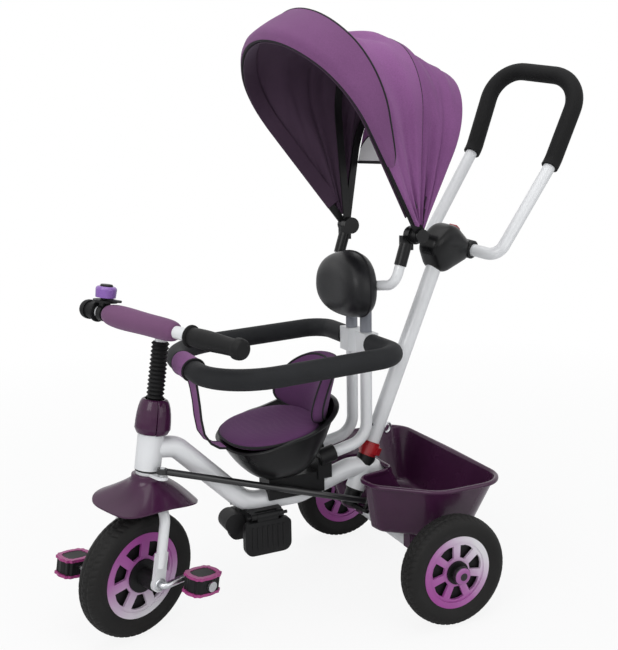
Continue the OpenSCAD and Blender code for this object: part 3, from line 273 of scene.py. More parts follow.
# %% Paint, moulding, plastic and metal
def hard_finish(name, dark, light, rough, grain, grain_size, coat=0.0, metal=0.0, specular=0.5):
    material, tree, shader, place = start_finish(name)
    slow = speckle(tree, place.outputs["Object"], 9.0, 4.0)
    fine = speckle(tree, place.outputs["Object"], 1 / grain_size, 2.0)
    set_inputs(shader, Base_Color=shade(tree, slow, [(0.3, dark), (0.7, light)]),
               Roughness=spread(tree, slow, rough * 0.8, rough * 1.25), Metallic=metal,
               Coat_Weight=coat, Coat_Roughness=0.08, Specular_IOR_Level=specular)
    relief(tree, shader, fine, grain, 0.0006)
    return material


white_paint = hard_finish("white_gloss_paint", (0.80, 0.81, 0.82), (0.85, 0.86, 0.87),
                          rough=0.32, grain=0.012, grain_size=0.012, coat=0.4)
purple_gloss = hard_finish("purple_gloss_moulding", (0.046, 0.010, 0.038), (0.064, 0.015, 0.054),
                           rough=0.24, grain=0.03, grain_size=0.010, coat=0.14, specular=0.28)
satin_black = hard_finish("satin_black_moulding", (0.007, 0.007, 0.0075), (0.012, 0.012, 0.0125),
                          rough=0.42, grain=0.12, grain_size=0.0012, specular=0.2)
gloss_black = hard_finish("gloss_black_moulding", (0.006, 0.006, 0.0065), (0.010, 0.010, 0.0105),
                          rough=0.3, grain=0.04, grain_size=0.008, coat=0.05, specular=0.2)
black_paint = hard_finish("black_rod_paint", (0.010, 0.010, 0.011), (0.016, 0.016, 0.017),
                          rough=0.3, grain=0.05, grain_size=0.004, coat=0.2)
bright_steel = hard_finish("bright_plated_steel", (0.52, 0.53, 0.55), (0.66, 0.67, 0.69),
                           rough=0.26, grain=0.05, grain_size=0.0015, metal=1.0)
red_plastic = hard_finish("red_clutch_plastic", (0.36, 0.010, 0.016), (0.46, 0.016, 0.022),
                          rough=0.3, grain=0.04, grain_size=0.003, coat=0.2)
grey_plastic = hard_finish("grey_sleeve_plastic", (0.21, 0.22, 0.25), (0.27, 0.28, 0.31),
                           rough=0.38, grain=0.07, grain_size=0.002)
violet_plastic = hard_finish("violet_bell_plastic", (0.22, 0.095, 0.40), (0.30, 0.14, 0.50),
                             rough=0.3, grain=0.04, grain_size=0.004, coat=0.3)
pink_plastic = hard_finish("magenta_pedal_plastic", (0.31, 0.032, 0.17), (0.42, 0.052, 0.24),
                           rough=0.35, grain=0.06, grain_size=0.002)
print("ten hard finishes")

# %% [markdown]
# The wheel discs are sprayed: magenta at one side, fading to nearly white at the other, with fine turned
# lines round the hub. The fade is a straight slope across the disc and the lines are rings, both measured
# from the wheel's own centre.

# %% Sprayed wheel discs
DISC_SPRAY = [(0.0, (0.37, 0.060, 0.32)), (0.45, (0.44, 0.14, 0.41)), (0.75, (0.64, 0.50, 0.65)),
              (1.0, (0.80, 0.78, 0.81))]


def own_centre(tree, place, centre, tilt=(0, 0, 0)):
    own = tree.nodes.new("ShaderNodeMapping")
    own.vector_type = "TEXTURE"
    set_inputs(own, Vector=place.outputs["Object"], Location=centre, Rotation=tilt)
    parts = node(tree, "ShaderNodeSeparateXYZ", Vector=own.outputs["Vector"])
    return own.outputs["Vector"], parts.outputs["Y"], parts.outputs["Z"]


def disc_finish(name, centre, tilt, fade, reach):
    material, tree, shader, place = start_finish(name)
    own, across, up = own_centre(tree, place, centre, tilt)
    fade_across = combine(tree, "MULTIPLY", across, fade[0])
    fade_up = combine(tree, "MULTIPLY", up, fade[1])
    slope = spread(tree, combine(tree, "ADD", fade_across, fade_up), 0.0, 1.0, -reach, reach)
    cloud = spread(tree, speckle(tree, own, 14.0, 2.0), -0.06, 0.06)
    rings = node(tree, "ShaderNodeTexWave", Vector=own, Scale=90.0)
    rings.wave_type = "RINGS"
    rings.rings_direction = "X"
    set_inputs(shader, Base_Color=shade(tree, combine(tree, "ADD", slope, cloud), DISC_SPRAY),
               Roughness=spread(tree, rings.outputs["Fac"], 0.3, 0.42, 0.0, 1.0))
    relief(tree, shader, rings.outputs["Fac"], 0.12, 0.0004)
    return material


REAR_FADE, REAR_REACH = (0.75, 0.65), 0.065
left_wheel, right_wheel = [mm((x, 0, REAR_WHEEL_Z)) for x in (REAR_WHEEL_X, -REAR_WHEEL_X)]
front_disc = disc_finish("front_disc_spray", mm(FRONT_AXLE), STEERED.to_euler(), (0.15, -0.98), 0.075)
left_disc = disc_finish("left_disc_spray", left_wheel, (0, 0, 0), REAR_FADE, REAR_REACH)
right_disc = disc_finish("right_disc_spray", right_wheel, (0, 0, 0), REAR_FADE, REAR_REACH)
print("three wheel discs")

# %% [markdown]
# ### Rubber and foam
# Tyre rubber is nearly black, dull, and a little dusty where it has rolled. Foam tubing has an open grain
# of tiny pores: a fine noise makes the pores and a broad one makes the dull patches.

# %% Rubber and foam
def soft_black(name, dark, light, rough, pores, pore_size, dust=0.0):
    material, tree, shader, place = start_finish(name)
    slow = speckle(tree, place.outputs["Object"], 16.0, 4.0)
    fine = speckle(tree, place.outputs["Object"], 1 / pore_size, 2.0)
    mixed = combine(tree, "ADD", combine(tree, "MULTIPLY", slow, 0.6), combine(tree, "MULTIPLY", fine, 0.4))
    set_inputs(shader, Base_Color=shade(tree, mixed, [(0.35, dark), (0.65, light)]),
               Roughness=spread(tree, mixed, rough - 0.06, rough + 0.08),
               Sheen_Weight=dust, Sheen_Roughness=0.5, Specular_IOR_Level=0.18)
    relief(tree, shader, fine, pores, 0.0008)
    return material


tyre_rubber = soft_black("tyre_rubber", (0.010, 0.0097, 0.0094), (0.017, 0.0165, 0.016),
                         rough=0.6, pores=0.25, pore_size=0.0016, dust=0.01)
rail_foam_finish = soft_black("charcoal_rail_foam", (0.014, 0.0145, 0.016), (0.022, 0.023, 0.025),
                              rough=0.66, pores=0.35, pore_size=0.0016, dust=0.02)
grip_foam = soft_black("black_handle_foam", (0.0055, 0.0055, 0.0058), (0.010, 0.010, 0.0105),
                       rough=0.68, pores=0.4, pore_size=0.0016)
grip_rubber = soft_black("black_grip_rubber", (0.006, 0.006, 0.0063), (0.011, 0.011, 0.0115),
                         rough=0.52, pores=0.2, pore_size=0.0012)
print("four rubber and foam finishes")

# %% [markdown]
# ### Cloth
# The covers and the hood are heathered purple cloth, a little lighter or darker from piece to piece. The
# hood's back and rear panel get a darker copy of the hood's cloth, which is painted shade. Two near tones
# mix in the cloth, and crossed threads give a fine relief. The hood has a darker lining: a face attribute
# named inside says which faces show it. Sheets carry a UV map in metres, so the threads follow the sheet.
# Cushions use no UV map: three crossed sets of fine ribs on Object coordinates look the same on any side
# of them.

# %% Purple cloth, tape, mesh and vinyl
THREAD = 0.0016


def cloth_finish(name, dark, light, on_uv, thread=THREAD, sheen=0.25, lining=None):
    material, tree, shader, place = start_finish(name)
    source = place.outputs["UV"] if on_uv else place.outputs["Object"]
    weft = stripes(tree, source, "X", thread)
    warp = stripes(tree, source, "Y", thread)
    weave = combine(tree, "MULTIPLY", weft, warp)
    if not on_uv:
        weave = combine(tree, "MULTIPLY", weave, stripes(tree, source, "Z", thread))
    slow = speckle(tree, place.outputs["Object"], 7.0, 3.0)
    heather = speckle(tree, place.outputs["Object"], 420.0, 2.0)
    slow_part = combine(tree, "MULTIPLY", slow, 0.45)
    tone = combine(tree, "ADD", slow_part, combine(tree, "MULTIPLY", heather, 0.45))
    tone = combine(tree, "ADD", tone, combine(tree, "MULTIPLY", weave, 0.12))
    colour = shade(tree, tone, [(0.28, dark), (0.68, light)])
    if lining:
        side = tree.nodes.new("ShaderNodeAttribute")
        side.attribute_name = "inside"
        lined = tree.nodes.new("ShaderNodeMix")
        lined.data_type = "RGBA"
        tree.links.new(side.outputs["Fac"], lined.inputs[0])
        tree.links.new(colour, lined.inputs[6])
        tree.links.new(shade(tree, tone, [(0.28, lining[0]), (0.68, lining[1])]), lined.inputs[7])
        colour = lined.outputs[2]
    set_inputs(shader, Base_Color=colour, Roughness=spread(tree, heather, 0.72, 0.9),
               Sheen_Weight=sheen, Sheen_Roughness=0.4, Sheen_Tint=(0.85, 0.7, 0.9, 1),
               Specular_IOR_Level=0.3)
    threads = combine(tree, "ADD", weave, combine(tree, "MULTIPLY", heather, 0.6))
    relief(tree, shader, threads, 0.35, 0.0005)
    return material


LINING = ((0.044, 0.022, 0.044), (0.070, 0.038, 0.070))
purple_sheet = cloth_finish("purple_woven_cloth", (0.222, 0.077, 0.224), (0.325, 0.126, 0.330),
                            on_uv=True, sheen=0.14, lining=LINING)
# A darker copy of the hood's cloth for its back and rear panel: the darker tone is painted shade.
painted_shade_sheet = cloth_finish("purple_woven_cloth_painted_shade", (0.172, 0.059, 0.175), (0.258, 0.098, 0.264),
                            on_uv=True, sheen=0.10, lining=LINING)
lining_cloth = cloth_finish("dark_hood_lining", *LINING, on_uv=True)
visor_sheet = cloth_finish("purple_visor_cloth", (0.150, 0.052, 0.150), (0.226, 0.088, 0.226),
                           on_uv=True, sheen=0.14)
bar_cloth = cloth_finish("purple_bar_cloth", (0.152, 0.063, 0.140), (0.200, 0.087, 0.184), on_uv=False)
purple_cushion = cloth_finish("purple_woven_cover", (0.078, 0.025, 0.084), (0.128, 0.044, 0.136),
                              on_uv=False, sheen=0.10)
black_tape = cloth_finish("black_binding_tape", (0.008, 0.008, 0.009), (0.016, 0.016, 0.017),
                          on_uv=False, thread=0.0011, sheen=0.1)
pale_mesh = cloth_finish("pale_window_mesh", (0.74, 0.73, 0.75), (0.88, 0.87, 0.88),
                         on_uv=True, thread=0.003, sheen=0.1)


def vinyl_finish(name, dark, light):
    material, tree, shader, place = start_finish(name)
    cells = node(tree, "ShaderNodeTexVoronoi", Vector=place.outputs["Object"], Scale=520.0)
    slow = speckle(tree, place.outputs["Object"], 18.0, 4.0)
    set_inputs(shader, Base_Color=shade(tree, slow, [(0.3, dark), (0.7, light)]),
               Roughness=spread(tree, slow, 0.3, 0.42), Specular_IOR_Level=0.24)
    relief(tree, shader, cells.outputs["Distance"], 0.3, 0.0006)
    return material


black_vinyl = vinyl_finish("grained_black_vinyl", (0.009, 0.009, 0.010), (0.015, 0.015, 0.017))
print("cloth, tape, mesh and vinyl")

# %% [markdown]
# ## The CAD nodes that stay
# Tubes, wheels, forks and levers already have the right shape, so their meshes stay as they are and only
# get a finish.

# %% Repaint the CAD nodes
finish_of = {
    white_paint: "main_frame seat_posts post_sockets fork handlebar push_tube handle_loop hood_arms",
    purple_gloss: "head_cover basket fender",
    satin_black: "steering_bushes seat_bracket footrest_bracket footrest_left footrest_right bell_base "
                 "bell_lever front_hub rear_hub_left rear_hub_right pedal_left pedal_right column_arm "
                 "hoop_rear hoop_mid hoop_front",
    gloss_black: "seat_shell joint_box arm_sleeves",
    black_paint: "steering_rod",
    bright_steel: "rear_axle rail_core crank_axle lock_pin",
    red_plastic: "clutch_collar release_button",
    grey_plastic: "post_sleeves",
    violet_plastic: "bell_dome",
    pink_plastic: "pedal_left_rims pedal_right_rims",
    front_disc: "front_rim",
    left_disc: "rear_rim_left",
    right_disc: "rear_rim_right",
    tyre_rubber: "front_tyre rear_tyre_left rear_tyre_right",
    grip_rubber: "grip_left grip_right bellows",
    rail_foam_finish: "rail_foam",
    grip_foam: "handle_foam",
    purple_cushion: "seat_pad back_pad crotch_strap bar_pad",
    purple_sheet: "hood_roof hood_back visor",
    black_vinyl: "head_rest",
}
painted = []
for finish, names in finish_of.items():
    for name in names.split():
        nodes[name].data.materials.clear()
        nodes[name].data.materials.append(finish)
        painted.append(name)
print("painted", len(painted), "of", len(nodes), "missing:", sorted(set(nodes) - set(painted)))

# %% [markdown]
# ## New pieces
# The soft parts, the mouldings and the tyres are made here. Each one starts as a Blender primitive of the
# right kind: a grid for a sheet or a moulded ring, a sphere for a cushion, a curve for a tube or a cord
# of piping. A short rule then says where each of its points goes.

# %% Helpers for modelling
def only(obj):
    bpy.ops.object.select_all(action="DESELECT")
    obj.select_set(True)
    bpy.context.view_layer.objects.active = obj


def tidy(obj):
    only(obj)
    bpy.ops.object.mode_set(mode="EDIT")
    bpy.ops.mesh.select_all(action="SELECT")
    bpy.ops.mesh.remove_doubles(threshold=0.00002)
    bpy.ops.mesh.normals_make_consistent(inside=False)
    bpy.ops.object.mode_set(mode="OBJECT")


def close_holes(obj):
    only(obj)
    bpy.ops.object.mode_set(mode="EDIT")
    bpy.ops.mesh.select_all(action="SELECT")
    bpy.ops.mesh.fill_holes(sides=0)
    bpy.ops.mesh.normals_make_consistent(inside=False)
    bpy.ops.object.mode_set(mode="OBJECT")


def join_to(obj, other):
    only(obj)
    other.select_set(True)
    bpy.ops.object.join()


def modify(obj, kind, **settings):
    only(obj)
    bpy.ops.object.modifier_add(type=kind)
    made = obj.modifiers[-1]
    for key, value in settings.items():
        setattr(made, key, value)
    bpy.ops.object.modifier_apply(modifier=made.name)


def dress(obj, name, finish, body, stands_for=()):
    obj.name = name
    obj.data.name = name
    only(obj)
    bpy.ops.object.shade_smooth_by_angle(angle=math.radians(50))
    obj.data.materials.clear()
    obj.data.materials.append(finish)
    if body:
        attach(obj, body)
    if stands_for:
        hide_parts(*stands_for)


print("helpers for every piece are ready")

# %% [markdown]
# A sheet is a flat grid whose points are moved by its rule. A moulded ring is the same grid, rolled up
# until its last column meets the first. Merging the doubles then closes it.

# %% Sheets and rings
MOST_AREA = 0.98


def line_length(points):
    return sum((end - start).length for start, end in zip(points, points[1:]))


def sheet_grid(across, along, place):
    bpy.ops.mesh.primitive_grid_add(x_subdivisions=across, y_subdivisions=along, size=2, calc_uvs=True)
    obj = bpy.context.object
    for vertex in obj.data.vertices:
        vertex.co = place((vertex.co.x + 1) / 2, (vertex.co.y + 1) / 2)
    width = line_length([place(i / 40, 0.5) for i in range(41)])
    length = line_length([place(0.5, i / 40) for i in range(41)])
    for corner in obj.data.uv_layers.active.data:
        corner.uv = (corner.uv[0] * width, corner.uv[1] * length)
    area = sum(face.area for face in obj.data.polygons)
    return obj, width, length, area


def declare_sheet(obj, width, length, area, rests):
    area = min(area, MOST_AREA * width * length)
    print(obj.name, "flat", round(width, 3), "x", round(length, 3), "area", round(area, 4))


def wrap_grid(around, rows, place):
    bpy.ops.mesh.primitive_grid_add(x_subdivisions=around, y_subdivisions=rows, size=2, calc_uvs=False)
    obj = bpy.context.object
    for vertex in obj.data.vertices:
        vertex.co = place((vertex.co.x + 1) / 2, round((vertex.co.y + 1) / 2 * rows))
    tidy(obj)
    return obj


def smooth_copy(node_name, name, finish, body):
    source = nodes[node_name]
    obj = source.copy()
    obj.data = source.data.copy()
    bpy.context.collection.objects.link(obj)
    obj.parent = None
    obj.matrix_world = source.matrix_world.copy()
    for key in list(obj.keys()):
        del obj[key]
    only(obj)
    bpy.ops.object.transform_apply(location=True, rotation=True, scale=True)
    tidy(obj)
    dress(obj, name, finish, body, (node_name,))


def line_inside(obj, centre):
    faces = obj.data.polygons
    side = obj.data.attributes.new("inside", "FLOAT", "FACE")
    side.data.foreach_set("value", [float((face.center - centre).dot(face.normal) < 0) for face in faces])


print("helpers for sheets and rings are ready")

# %% [markdown]
# A cushion starts as a sphere: the longitude and latitude of a point say where it goes. A tube is a curve
# with a round bevel that is turned into a mesh. Its route goes by corner points with a radius at each
# corner, as on a tube bender.

# %% Cushions and tubes
def ball(segments, rings, place):
    bpy.ops.mesh.primitive_uv_sphere_add(segments=segments, ring_count=rings, radius=1)
    obj = bpy.context.object
    for vertex in obj.data.vertices:
        across, deep, high = vertex.co.normalized()
        vertex.co = place(math.atan2(deep, across), math.asin(max(-1.0, min(1.0, high))))
    tidy(obj)
    return obj


def tube(points, radius, closed=False, round_ends=False, sides=4):
    bpy.ops.curve.primitive_bezier_curve_add()
    obj = bpy.context.object
    curve = obj.data
    curve.splines.clear()
    line = curve.splines.new("POLY")
    line.points.add(len(points) - 1)
    for spot, point in zip(line.points, points):
        spot.co = (*point, 1)
    if round_ends:
        for i, share in enumerate((0.55, 0.82, 0.95)):
            line.points[i].radius = share
            line.points[-1 - i].radius = share
    line.use_cyclic_u = closed
    curve.dimensions = "3D"
    curve.bevel_depth = radius
    curve.bevel_resolution = sides
    curve.use_fill_caps = not closed
    only(obj)
    bpy.ops.object.convert(target="MESH")
    tidy(obj)
    return obj


def clamp(value):
    return max(0.0, min(1.0, value))


def signed_power(value, power):
    return math.copysign(abs(value) ** power, value)


def oval(half_x, half_y, power, turn):
    x = half_x * signed_power(math.cos(turn), 2 / power)
    return x, half_y * signed_power(math.sin(turn), 2 / power)


def bent_route(points, bends, steps=14, spacing=12):
    points = [Vector(p) for p in points]
    route = [points[0]]
    for i in range(1, len(points) - 1):
        back = (points[i - 1] - points[i]).normalized()
        on = (points[i + 1] - points[i]).normalized()
        half = back.angle(on) / 2
        trim = bends[i - 1] / math.tan(half)
        centre = points[i] + (back + on).normalized() * bends[i - 1] / math.sin(half)
        first, last = points[i] + back * trim - centre, points[i] + on * trim - centre
        for k in range(steps + 1):
            route.append(centre + first.normalized().slerp(last.normalized(), k / steps) * bends[i - 1])
    route.append(points[-1])
    fine = [route[0]]
    for start, end in zip(route, route[1:]):
        pieces = max(1, round((end - start).length / spacing))
        for k in range(1, pieces + 1):
            fine.append(start.lerp(end, k / pieces))
    return fine


print("helpers for cushions and tubes are ready")

# %% [markdown]
# ### The hood's outline
# The hood hangs on three hoops that meet at one hinge. A hoop has straight legs, round shoulders and a
# flat arched top. These short rules give a point on a hoop, and a point of the cloth between two hoops, a
# little outside of them.

# %% Where the hood's cloth lies
HINGE_Y, HINGE_Z = -22, 690
REAR_ANGLE, MID_ANGLE, FRONT_ANGLE = -15, 2, 34
LEG_END, SHOULDER_END = 0.3, 0.6


def hoop(foot, half, reach, shoulder, round_share, angle):
    return foot, half, reach, shoulder * reach, round_share * reach, angle


REAR = hoop(134.2, 168, 296, 0.573, 0.382, REAR_ANGLE)
MID = hoop(129.9, 150, 334, 0.647, 0.33, MID_ANGLE)
FRONT = hoop(140.1, 201, 406, 0.627, 0.299, FRONT_ANGLE)


def half_hoop(h, share, off):
    foot, half, reach, high, bend, _ = h
    side = half - bend
    drop = high - reach
    top_r = (bend ** 2 - side ** 2 - drop ** 2) / (2 * (drop + bend))
    away = math.hypot(side - foot, high)
    leg = math.atan2(high, side - foot) - math.asin(bend / away)
    leg_long = math.sqrt(away ** 2 - bend ** 2)
    top = math.atan2(high - reach + top_r, side)
    if share < LEG_END:
        x = foot + math.cos(leg) * leg_long * share / LEG_END + math.sin(leg) * off
        return x, math.sin(leg) * leg_long * share / LEG_END - math.cos(leg) * off
    if share < SHOULDER_END:
        bend_share = (share - LEG_END) / (SHOULDER_END - LEG_END)
        turn = leg - math.pi / 2 + (top - leg + math.pi / 2) * bend_share
        return side + (bend + off) * math.cos(turn), high + (bend + off) * math.sin(turn)
    turn = top + (math.pi / 2 - top) * (share - SHOULDER_END) / (1 - SHOULDER_END)
    return (top_r + off) * math.cos(turn), reach - top_r + (top_r + off) * math.sin(turn)


def hoop_point(h, u, off):
    x, high = half_hoop(h, min(2 * u, 2 - 2 * u), off)
    return (x if u <= 0.5 else -x), high


def lean(x, high, angle, behind=0.0):
    turn = math.radians(angle)
    return Vector((x, HINGE_Y - high * math.sin(turn) + behind, HINGE_Z + high * math.cos(turn)))


def cloth(a, b, u, w, off, sag):
    share = clamp(w)
    xa, ha = hoop_point(a, u, off)
    xb, hb = hoop_point(b, u, off)
    x, high = xa + (xb - xa) * share, ha + (hb - ha) * share
    drop = sag * math.sin(math.pi * share) ** 2 * math.sin(math.pi * u)
    keep = 1 - drop / math.hypot(x, high)
    return lean(x * keep, high * keep, a[5] + (b[5] - a[5]) * w)


def hinge_weights(obj, a, b):
    first, last = math.radians(a[5]), math.radians(b[5])
    for vertex in obj.data.vertices:
        turn = math.atan2(-(vertex.co.y * 1000 - ORIGIN_Y - HINGE_Y), vertex.co.z * 1000 - HINGE_Z)
        clamp((turn - first) / (last - first))


print("top of the front hoop", mm(lean(*hoop_point(FRONT, 0.5, 0), FRONT_ANGLE)))

# %% [markdown]
# ### The hood's roof and back
# Each is a grid of cloth laid over two hoops. It sags between them, and shallow folds run from the hinges
# up to the roof. The folds add up slow noise, soft creases, gathers near the hinges and slanted waves
# over the roof, and all of them fade out at the hoops. A Solidify modifier gives the cloth its thickness.

# %% Roof and back of the hood
from mathutils import noise

CLOTH_OUT = 9.5
HOOD_MIDDLE = (0, -40, 790)


def hood_turn(u):
    return 0.016 + 0.968 * u


def folds(u, w, seed, depth):
    low = abs(2 * u - 1)
    fine = noise.noise(Vector((u * 6 + seed, w * 2.2, seed))) * (0.55 + 0.45 * low)
    crease = 1 - 2 * abs(noise.noise(Vector((u * 4 - w * 1.6 + seed, w * 3.4, 5 + seed)))) ** 0.7
    gather = math.sin(2 * math.pi * (w * 2.5 + 0.22 * math.sin(9 * u + seed))) * low ** 3
    wander = 0.5 * noise.noise(Vector((u * 3, w * 2, 11 + seed)))
    slant = math.sin(2 * math.pi * (1.25 * w + 1.9 * low + wander)) * (1 - 0.7 * low)
    fade = math.sin(math.pi * clamp(w)) ** 0.8
    return depth * (0.8 * fine + 0.35 * crease + 0.4 * gather + 0.55 * slant) * fade


def roof_place(u, v):
    turn, w = hood_turn(u), 1.04 * v
    over = 8.5 * max(0.0, (w - 0.97) / 0.07) ** 1.6
    off = CLOTH_OUT - over + folds(turn, w, seed=3.1, depth=12.5)
    return mm(cloth(MID, FRONT, turn, w, off, sag=22))


def back_place(u, v):
    turn, w = hood_turn(u), -0.15 + 1.15 * v
    off = CLOTH_OUT + folds(turn, w, seed=7.7, depth=9.0)
    return mm(cloth(REAR, MID, turn, w, off, sag=13))


def hood_sheet(name, place, rows, hoops, node_name, rests, finish):
    obj, *flat = sheet_grid(110, rows, place)
    tidy(obj)
    modify(obj, "SOLIDIFY", thickness=0.0016, offset=0.0)
    dress(obj, name, finish, None, (node_name,))
    mm(lean(0, 300, hoops[0][5]))
    mm(lean(0, 300, hoops[1][5]))
    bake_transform(obj)
    hinge_weights(obj, *hoops)
    line_inside(obj, mm(HOOD_MIDDLE))
    declare_sheet(obj, *flat, rests)


hood_sheet("hood_roof_cloth", roof_place, 40, (MID, FRONT), "hood_roof",
           ["hoop_mid", "hoop_front"], purple_sheet)
# The back gets the darker copy of the cloth, which is painted shade.
hood_sheet("hood_back_cloth", back_place, 30, (REAR, MID), "hood_back",
           ["hoop_rear", "hoop_mid"], painted_shade_sheet)

# %% [markdown]
# ### Visor, rear panel and bindings
# The visor is a second layer along the front hoop. Behind the rear hoop hangs a panel with a pale mesh
# window and a black hem. The main edges and the middle seam are bound with black tape. A binding is a
# thin tube along the edge, which looks right at this distance.

# %% Visor
def hang_sheet(name, cuts, place, thick, finish, body, rests, stands_for=()):
    obj, *flat = sheet_grid(*cuts, place)
    tidy(obj)
    modify(obj, "SOLIDIFY", thickness=thick, offset=0.0)
    dress(obj, name, finish, body, stands_for)
    declare_sheet(obj, *flat, rests)


def visor_place(u, v):
    turn = 0.10 + 0.80 * u
    crest = max(0.0, 1 - abs(2 * u - 1) ** 5) ** 0.5
    over = 10.5 * max(0.0, 1 - v / 0.2) ** 2
    x, high = hoop_point(FRONT, turn, 13.2 - over + 2.4 * v * crest + 0.8 * math.sin(math.pi * v))
    return mm(lean(x, high, FRONT_ANGLE + 1.5 - (2.1 + 9.2 * crest) * v))


hang_sheet("visor_cloth", (90, 12), visor_place, 0.0018, visor_sheet, "hood_front",
           ["hoop_front"], ("visor",))

# %% Rear panel with its window
PANEL_HEM = 126
WINDOW_TOP = 0.52


def panel_place(top, bottom):
    def place(u, v):
        x, high = hoop_point(REAR, 0.19 + 0.62 * u, -2)
        share = top + (bottom - top) * v
        at = high + (PANEL_HEM - high) * share
        bulge = 7 * math.sin(math.pi * min(1.0, share)) * math.sin(math.pi * u)
        return mm(lean(x * (1 - 0.03 * share), at, REAR_ANGLE, 8.5 + bulge))
    return place


window_place = panel_place(WINDOW_TOP, 1.0)
# The rear panel gets the same darker copy of the cloth, which is painted shade.
hang_sheet("hood_rear_panel", (60, 12), panel_place(0.0, WINDOW_TOP), 0.0014, painted_shade_sheet,
           "hood_support", ["hoop_rear"])
hang_sheet("hood_rear_window", (60, 10), window_place, 0.0010, pale_mesh,
           "hood_support", ["hoop_rear"])

# %% Bindings and piping of the hood
def edge_tube(name, place, v, body, radius, first=0.0, last=1.0, count=90):
    points = [place(first + (last - first) * i / count, v) for i in range(count + 1)]
    dress(tube(points, radius, round_ends=True, sides=3), name, black_tape, body)


edge_tube("hood_mouth_binding", roof_place, 1.0, "hood_front", 0.0024)
edge_tube("visor_rear_piping", visor_place, 1.0, "hood_front", 0.0019)
edge_tube("hood_middle_seam", back_place, 1.0, "hood_mid", 0.0013, 0.05, 0.95)
edge_tube("window_hem", window_place, 1.0, "hood_support", 0.0030)
edge_tube("window_top_tape", window_place, 0.0, "hood_support", 0.0018)
print("five bindings")

# %% [markdown]
# A strip of the dark lining faces the mouth on the inside, where the cloth is turned in round the front
# hoop. It is a narrow sheet that stands square to the hoop, so that a look into the hood meets lining and
# not hoop.

# %% Facing behind the mouth's edge
def facing_place(u, v):
    x, high = hoop_point(FRONT, 0.03 + 0.94 * u, -4.2)
    turn = math.radians(FRONT_ANGLE)
    aside = 9.5 - 30 * v
    return mm(lean(x, high, FRONT_ANGLE) + aside * Vector((0, -math.cos(turn), -math.sin(turn))))


hang_sheet("hood_mouth_facing", (90, 6), facing_place, 0.0012, lining_cloth, "hood_front",
           ["hoop_front"])

# %% [markdown]
# ### The seat
# The seat cushion is an oval, lower in front, that fills the shell up to its rim. It starts as a sphere
# that is pressed flat. The back cushion is a taller sphere, squared off and bent round the child's back.
# Black piping runs round both.

# %% Seat cushion
SEAT_Y, SEAT_FRONT_Z, SEAT_RISE = -255, 331, 24
SEAT_HALF_X, SEAT_HALF_Y = 100, 87


def ring_share(up, power):
    flat = math.cos(up)
    return flat ** power if flat > 1e-6 else 0.0


def piping(name, place, count, radius, body):
    line = [place(2 * math.pi * i / count) for i in range(count)]
    dress(tube(line, radius, closed=True), name, black_tape, body)


def seat_spot(turn, ring, high):
    x, y = oval(SEAT_HALF_X, SEAT_HALF_Y, 2.35, turn)
    flat_z = SEAT_FRONT_Z + SEAT_RISE * (y * ring + SEAT_HALF_Y) / (2 * SEAT_HALF_Y)
    return mm((x * ring, SEAT_Y + y * ring, flat_z + high))


def seat_place(turn, up):
    ring = ring_share(up, 0.55)
    high = signed_power(math.sin(up), 0.85) * (15 if up > 0 else 13)
    dip = -5 * (1 - ring) if up > 0 else 0
    return seat_spot(turn, ring, high + dip)


seat_cushion = ball(80, 40, seat_place)
dress(seat_cushion, "seat_cushion", purple_cushion, "frame", ("seat_pad",))
piping("seat_cushion_piping", lambda turn: seat_spot(turn, 1, 0), 120, 0.0024, "frame")
print("seat cushion with piping")

# %% Back cushion
BACK_Y, BACK_LOW_Z, BACK_HIGH = -163, 352, 116
BACK_THICK = 15
BACK_PIPING_UP = 0.62


def back_spot(turn, up):
    ring = ring_share(up, 0.32)
    x, rise = oval(1, 1, 3.0, turn)
    share = 0.5 + 0.5 * rise * ring
    half = 101 - 32 * share ** 1.4
    x = half * x * ring
    y = BACK_Y + 30 * share ** 1.6 - 0.0052 * x * x
    return mm((x, y + signed_power(math.sin(up), 0.75) * BACK_THICK, BACK_LOW_Z + BACK_HIGH * share))


back_cushion = ball(80, 40, back_spot)
dress(back_cushion, "back_cushion", purple_cushion, "frame", ("back_pad",))
piping("back_cushion_piping_front", lambda turn: back_spot(turn, -BACK_PIPING_UP), 120, 0.0023, "frame")
piping("back_cushion_piping_rear", lambda turn: back_spot(turn, BACK_PIPING_UP), 120, 0.0023, "frame")
print("back cushion with two lines of piping")

# %% [markdown]
# ### Rail foam, strap and handle foam
# Foam sleeves are tubes along the bent route of the steel inside, and the handle's white tube is made the
# same way. A curve with a round bevel, turned into a mesh, is smoother than a CAD bend. The strap is a
# sheet wrapped round the rail that narrows to a band and tucks under the seat's front edge.

# %% Rail foam
RAIL_HALF, RAIL_FRONT_Y, RAIL_FRONT_Z = 158, -404, 473
RAIL_REAR = (-68, 487)


def mirrored(points):
    return points + [(-x, y, z) for x, y, z in reversed(points)]


rail_left = [(51, *RAIL_REAR), (RAIL_HALF, *RAIL_REAR), (RAIL_HALF, RAIL_FRONT_Y, RAIL_FRONT_Z)]
rail_route = bent_route(mirrored(rail_left), [44, 104, 104, 44])
rail = tube([mm(p) for p in rail_route], 0.0183, sides=8)
dress(rail, "rail_foam_sleeve", rail_foam_finish, "frame", ("rail_foam",))
print("rail foam", len(rail_route), "stations")

# %% Strap
def wrap_place(u, v):
    turn = math.radians(-60 + 300 * v)
    half = 34 - 9 * (1 - math.sin(turn)) / 2
    reach = 19.6 + 1.0 * math.sin(math.pi * v) ** 2
    y = RAIL_FRONT_Y + reach * math.cos(turn)
    return mm(((2 * u - 1) * half, y, RAIL_FRONT_Z + reach * math.sin(turn)))


STRAP_LINE = [(-394.2, 456), (-396, 446), (-392, 428), (-388.5, 405), (-386.5, 380), (-382, 352),
              (-371, 334), (-357, 324), (-345, 322)]
STRAP_HALF = [26, 23, 20, 19, 19, 19, 19.5, 20, 20]


def along(table, v):
    spot = v * (len(table) - 1)
    i = min(len(table) - 2, int(spot))
    part = spot - i
    part = part * part * (3 - 2 * part) * 0.3 + part * 0.7
    return table[i], table[i + 1], part


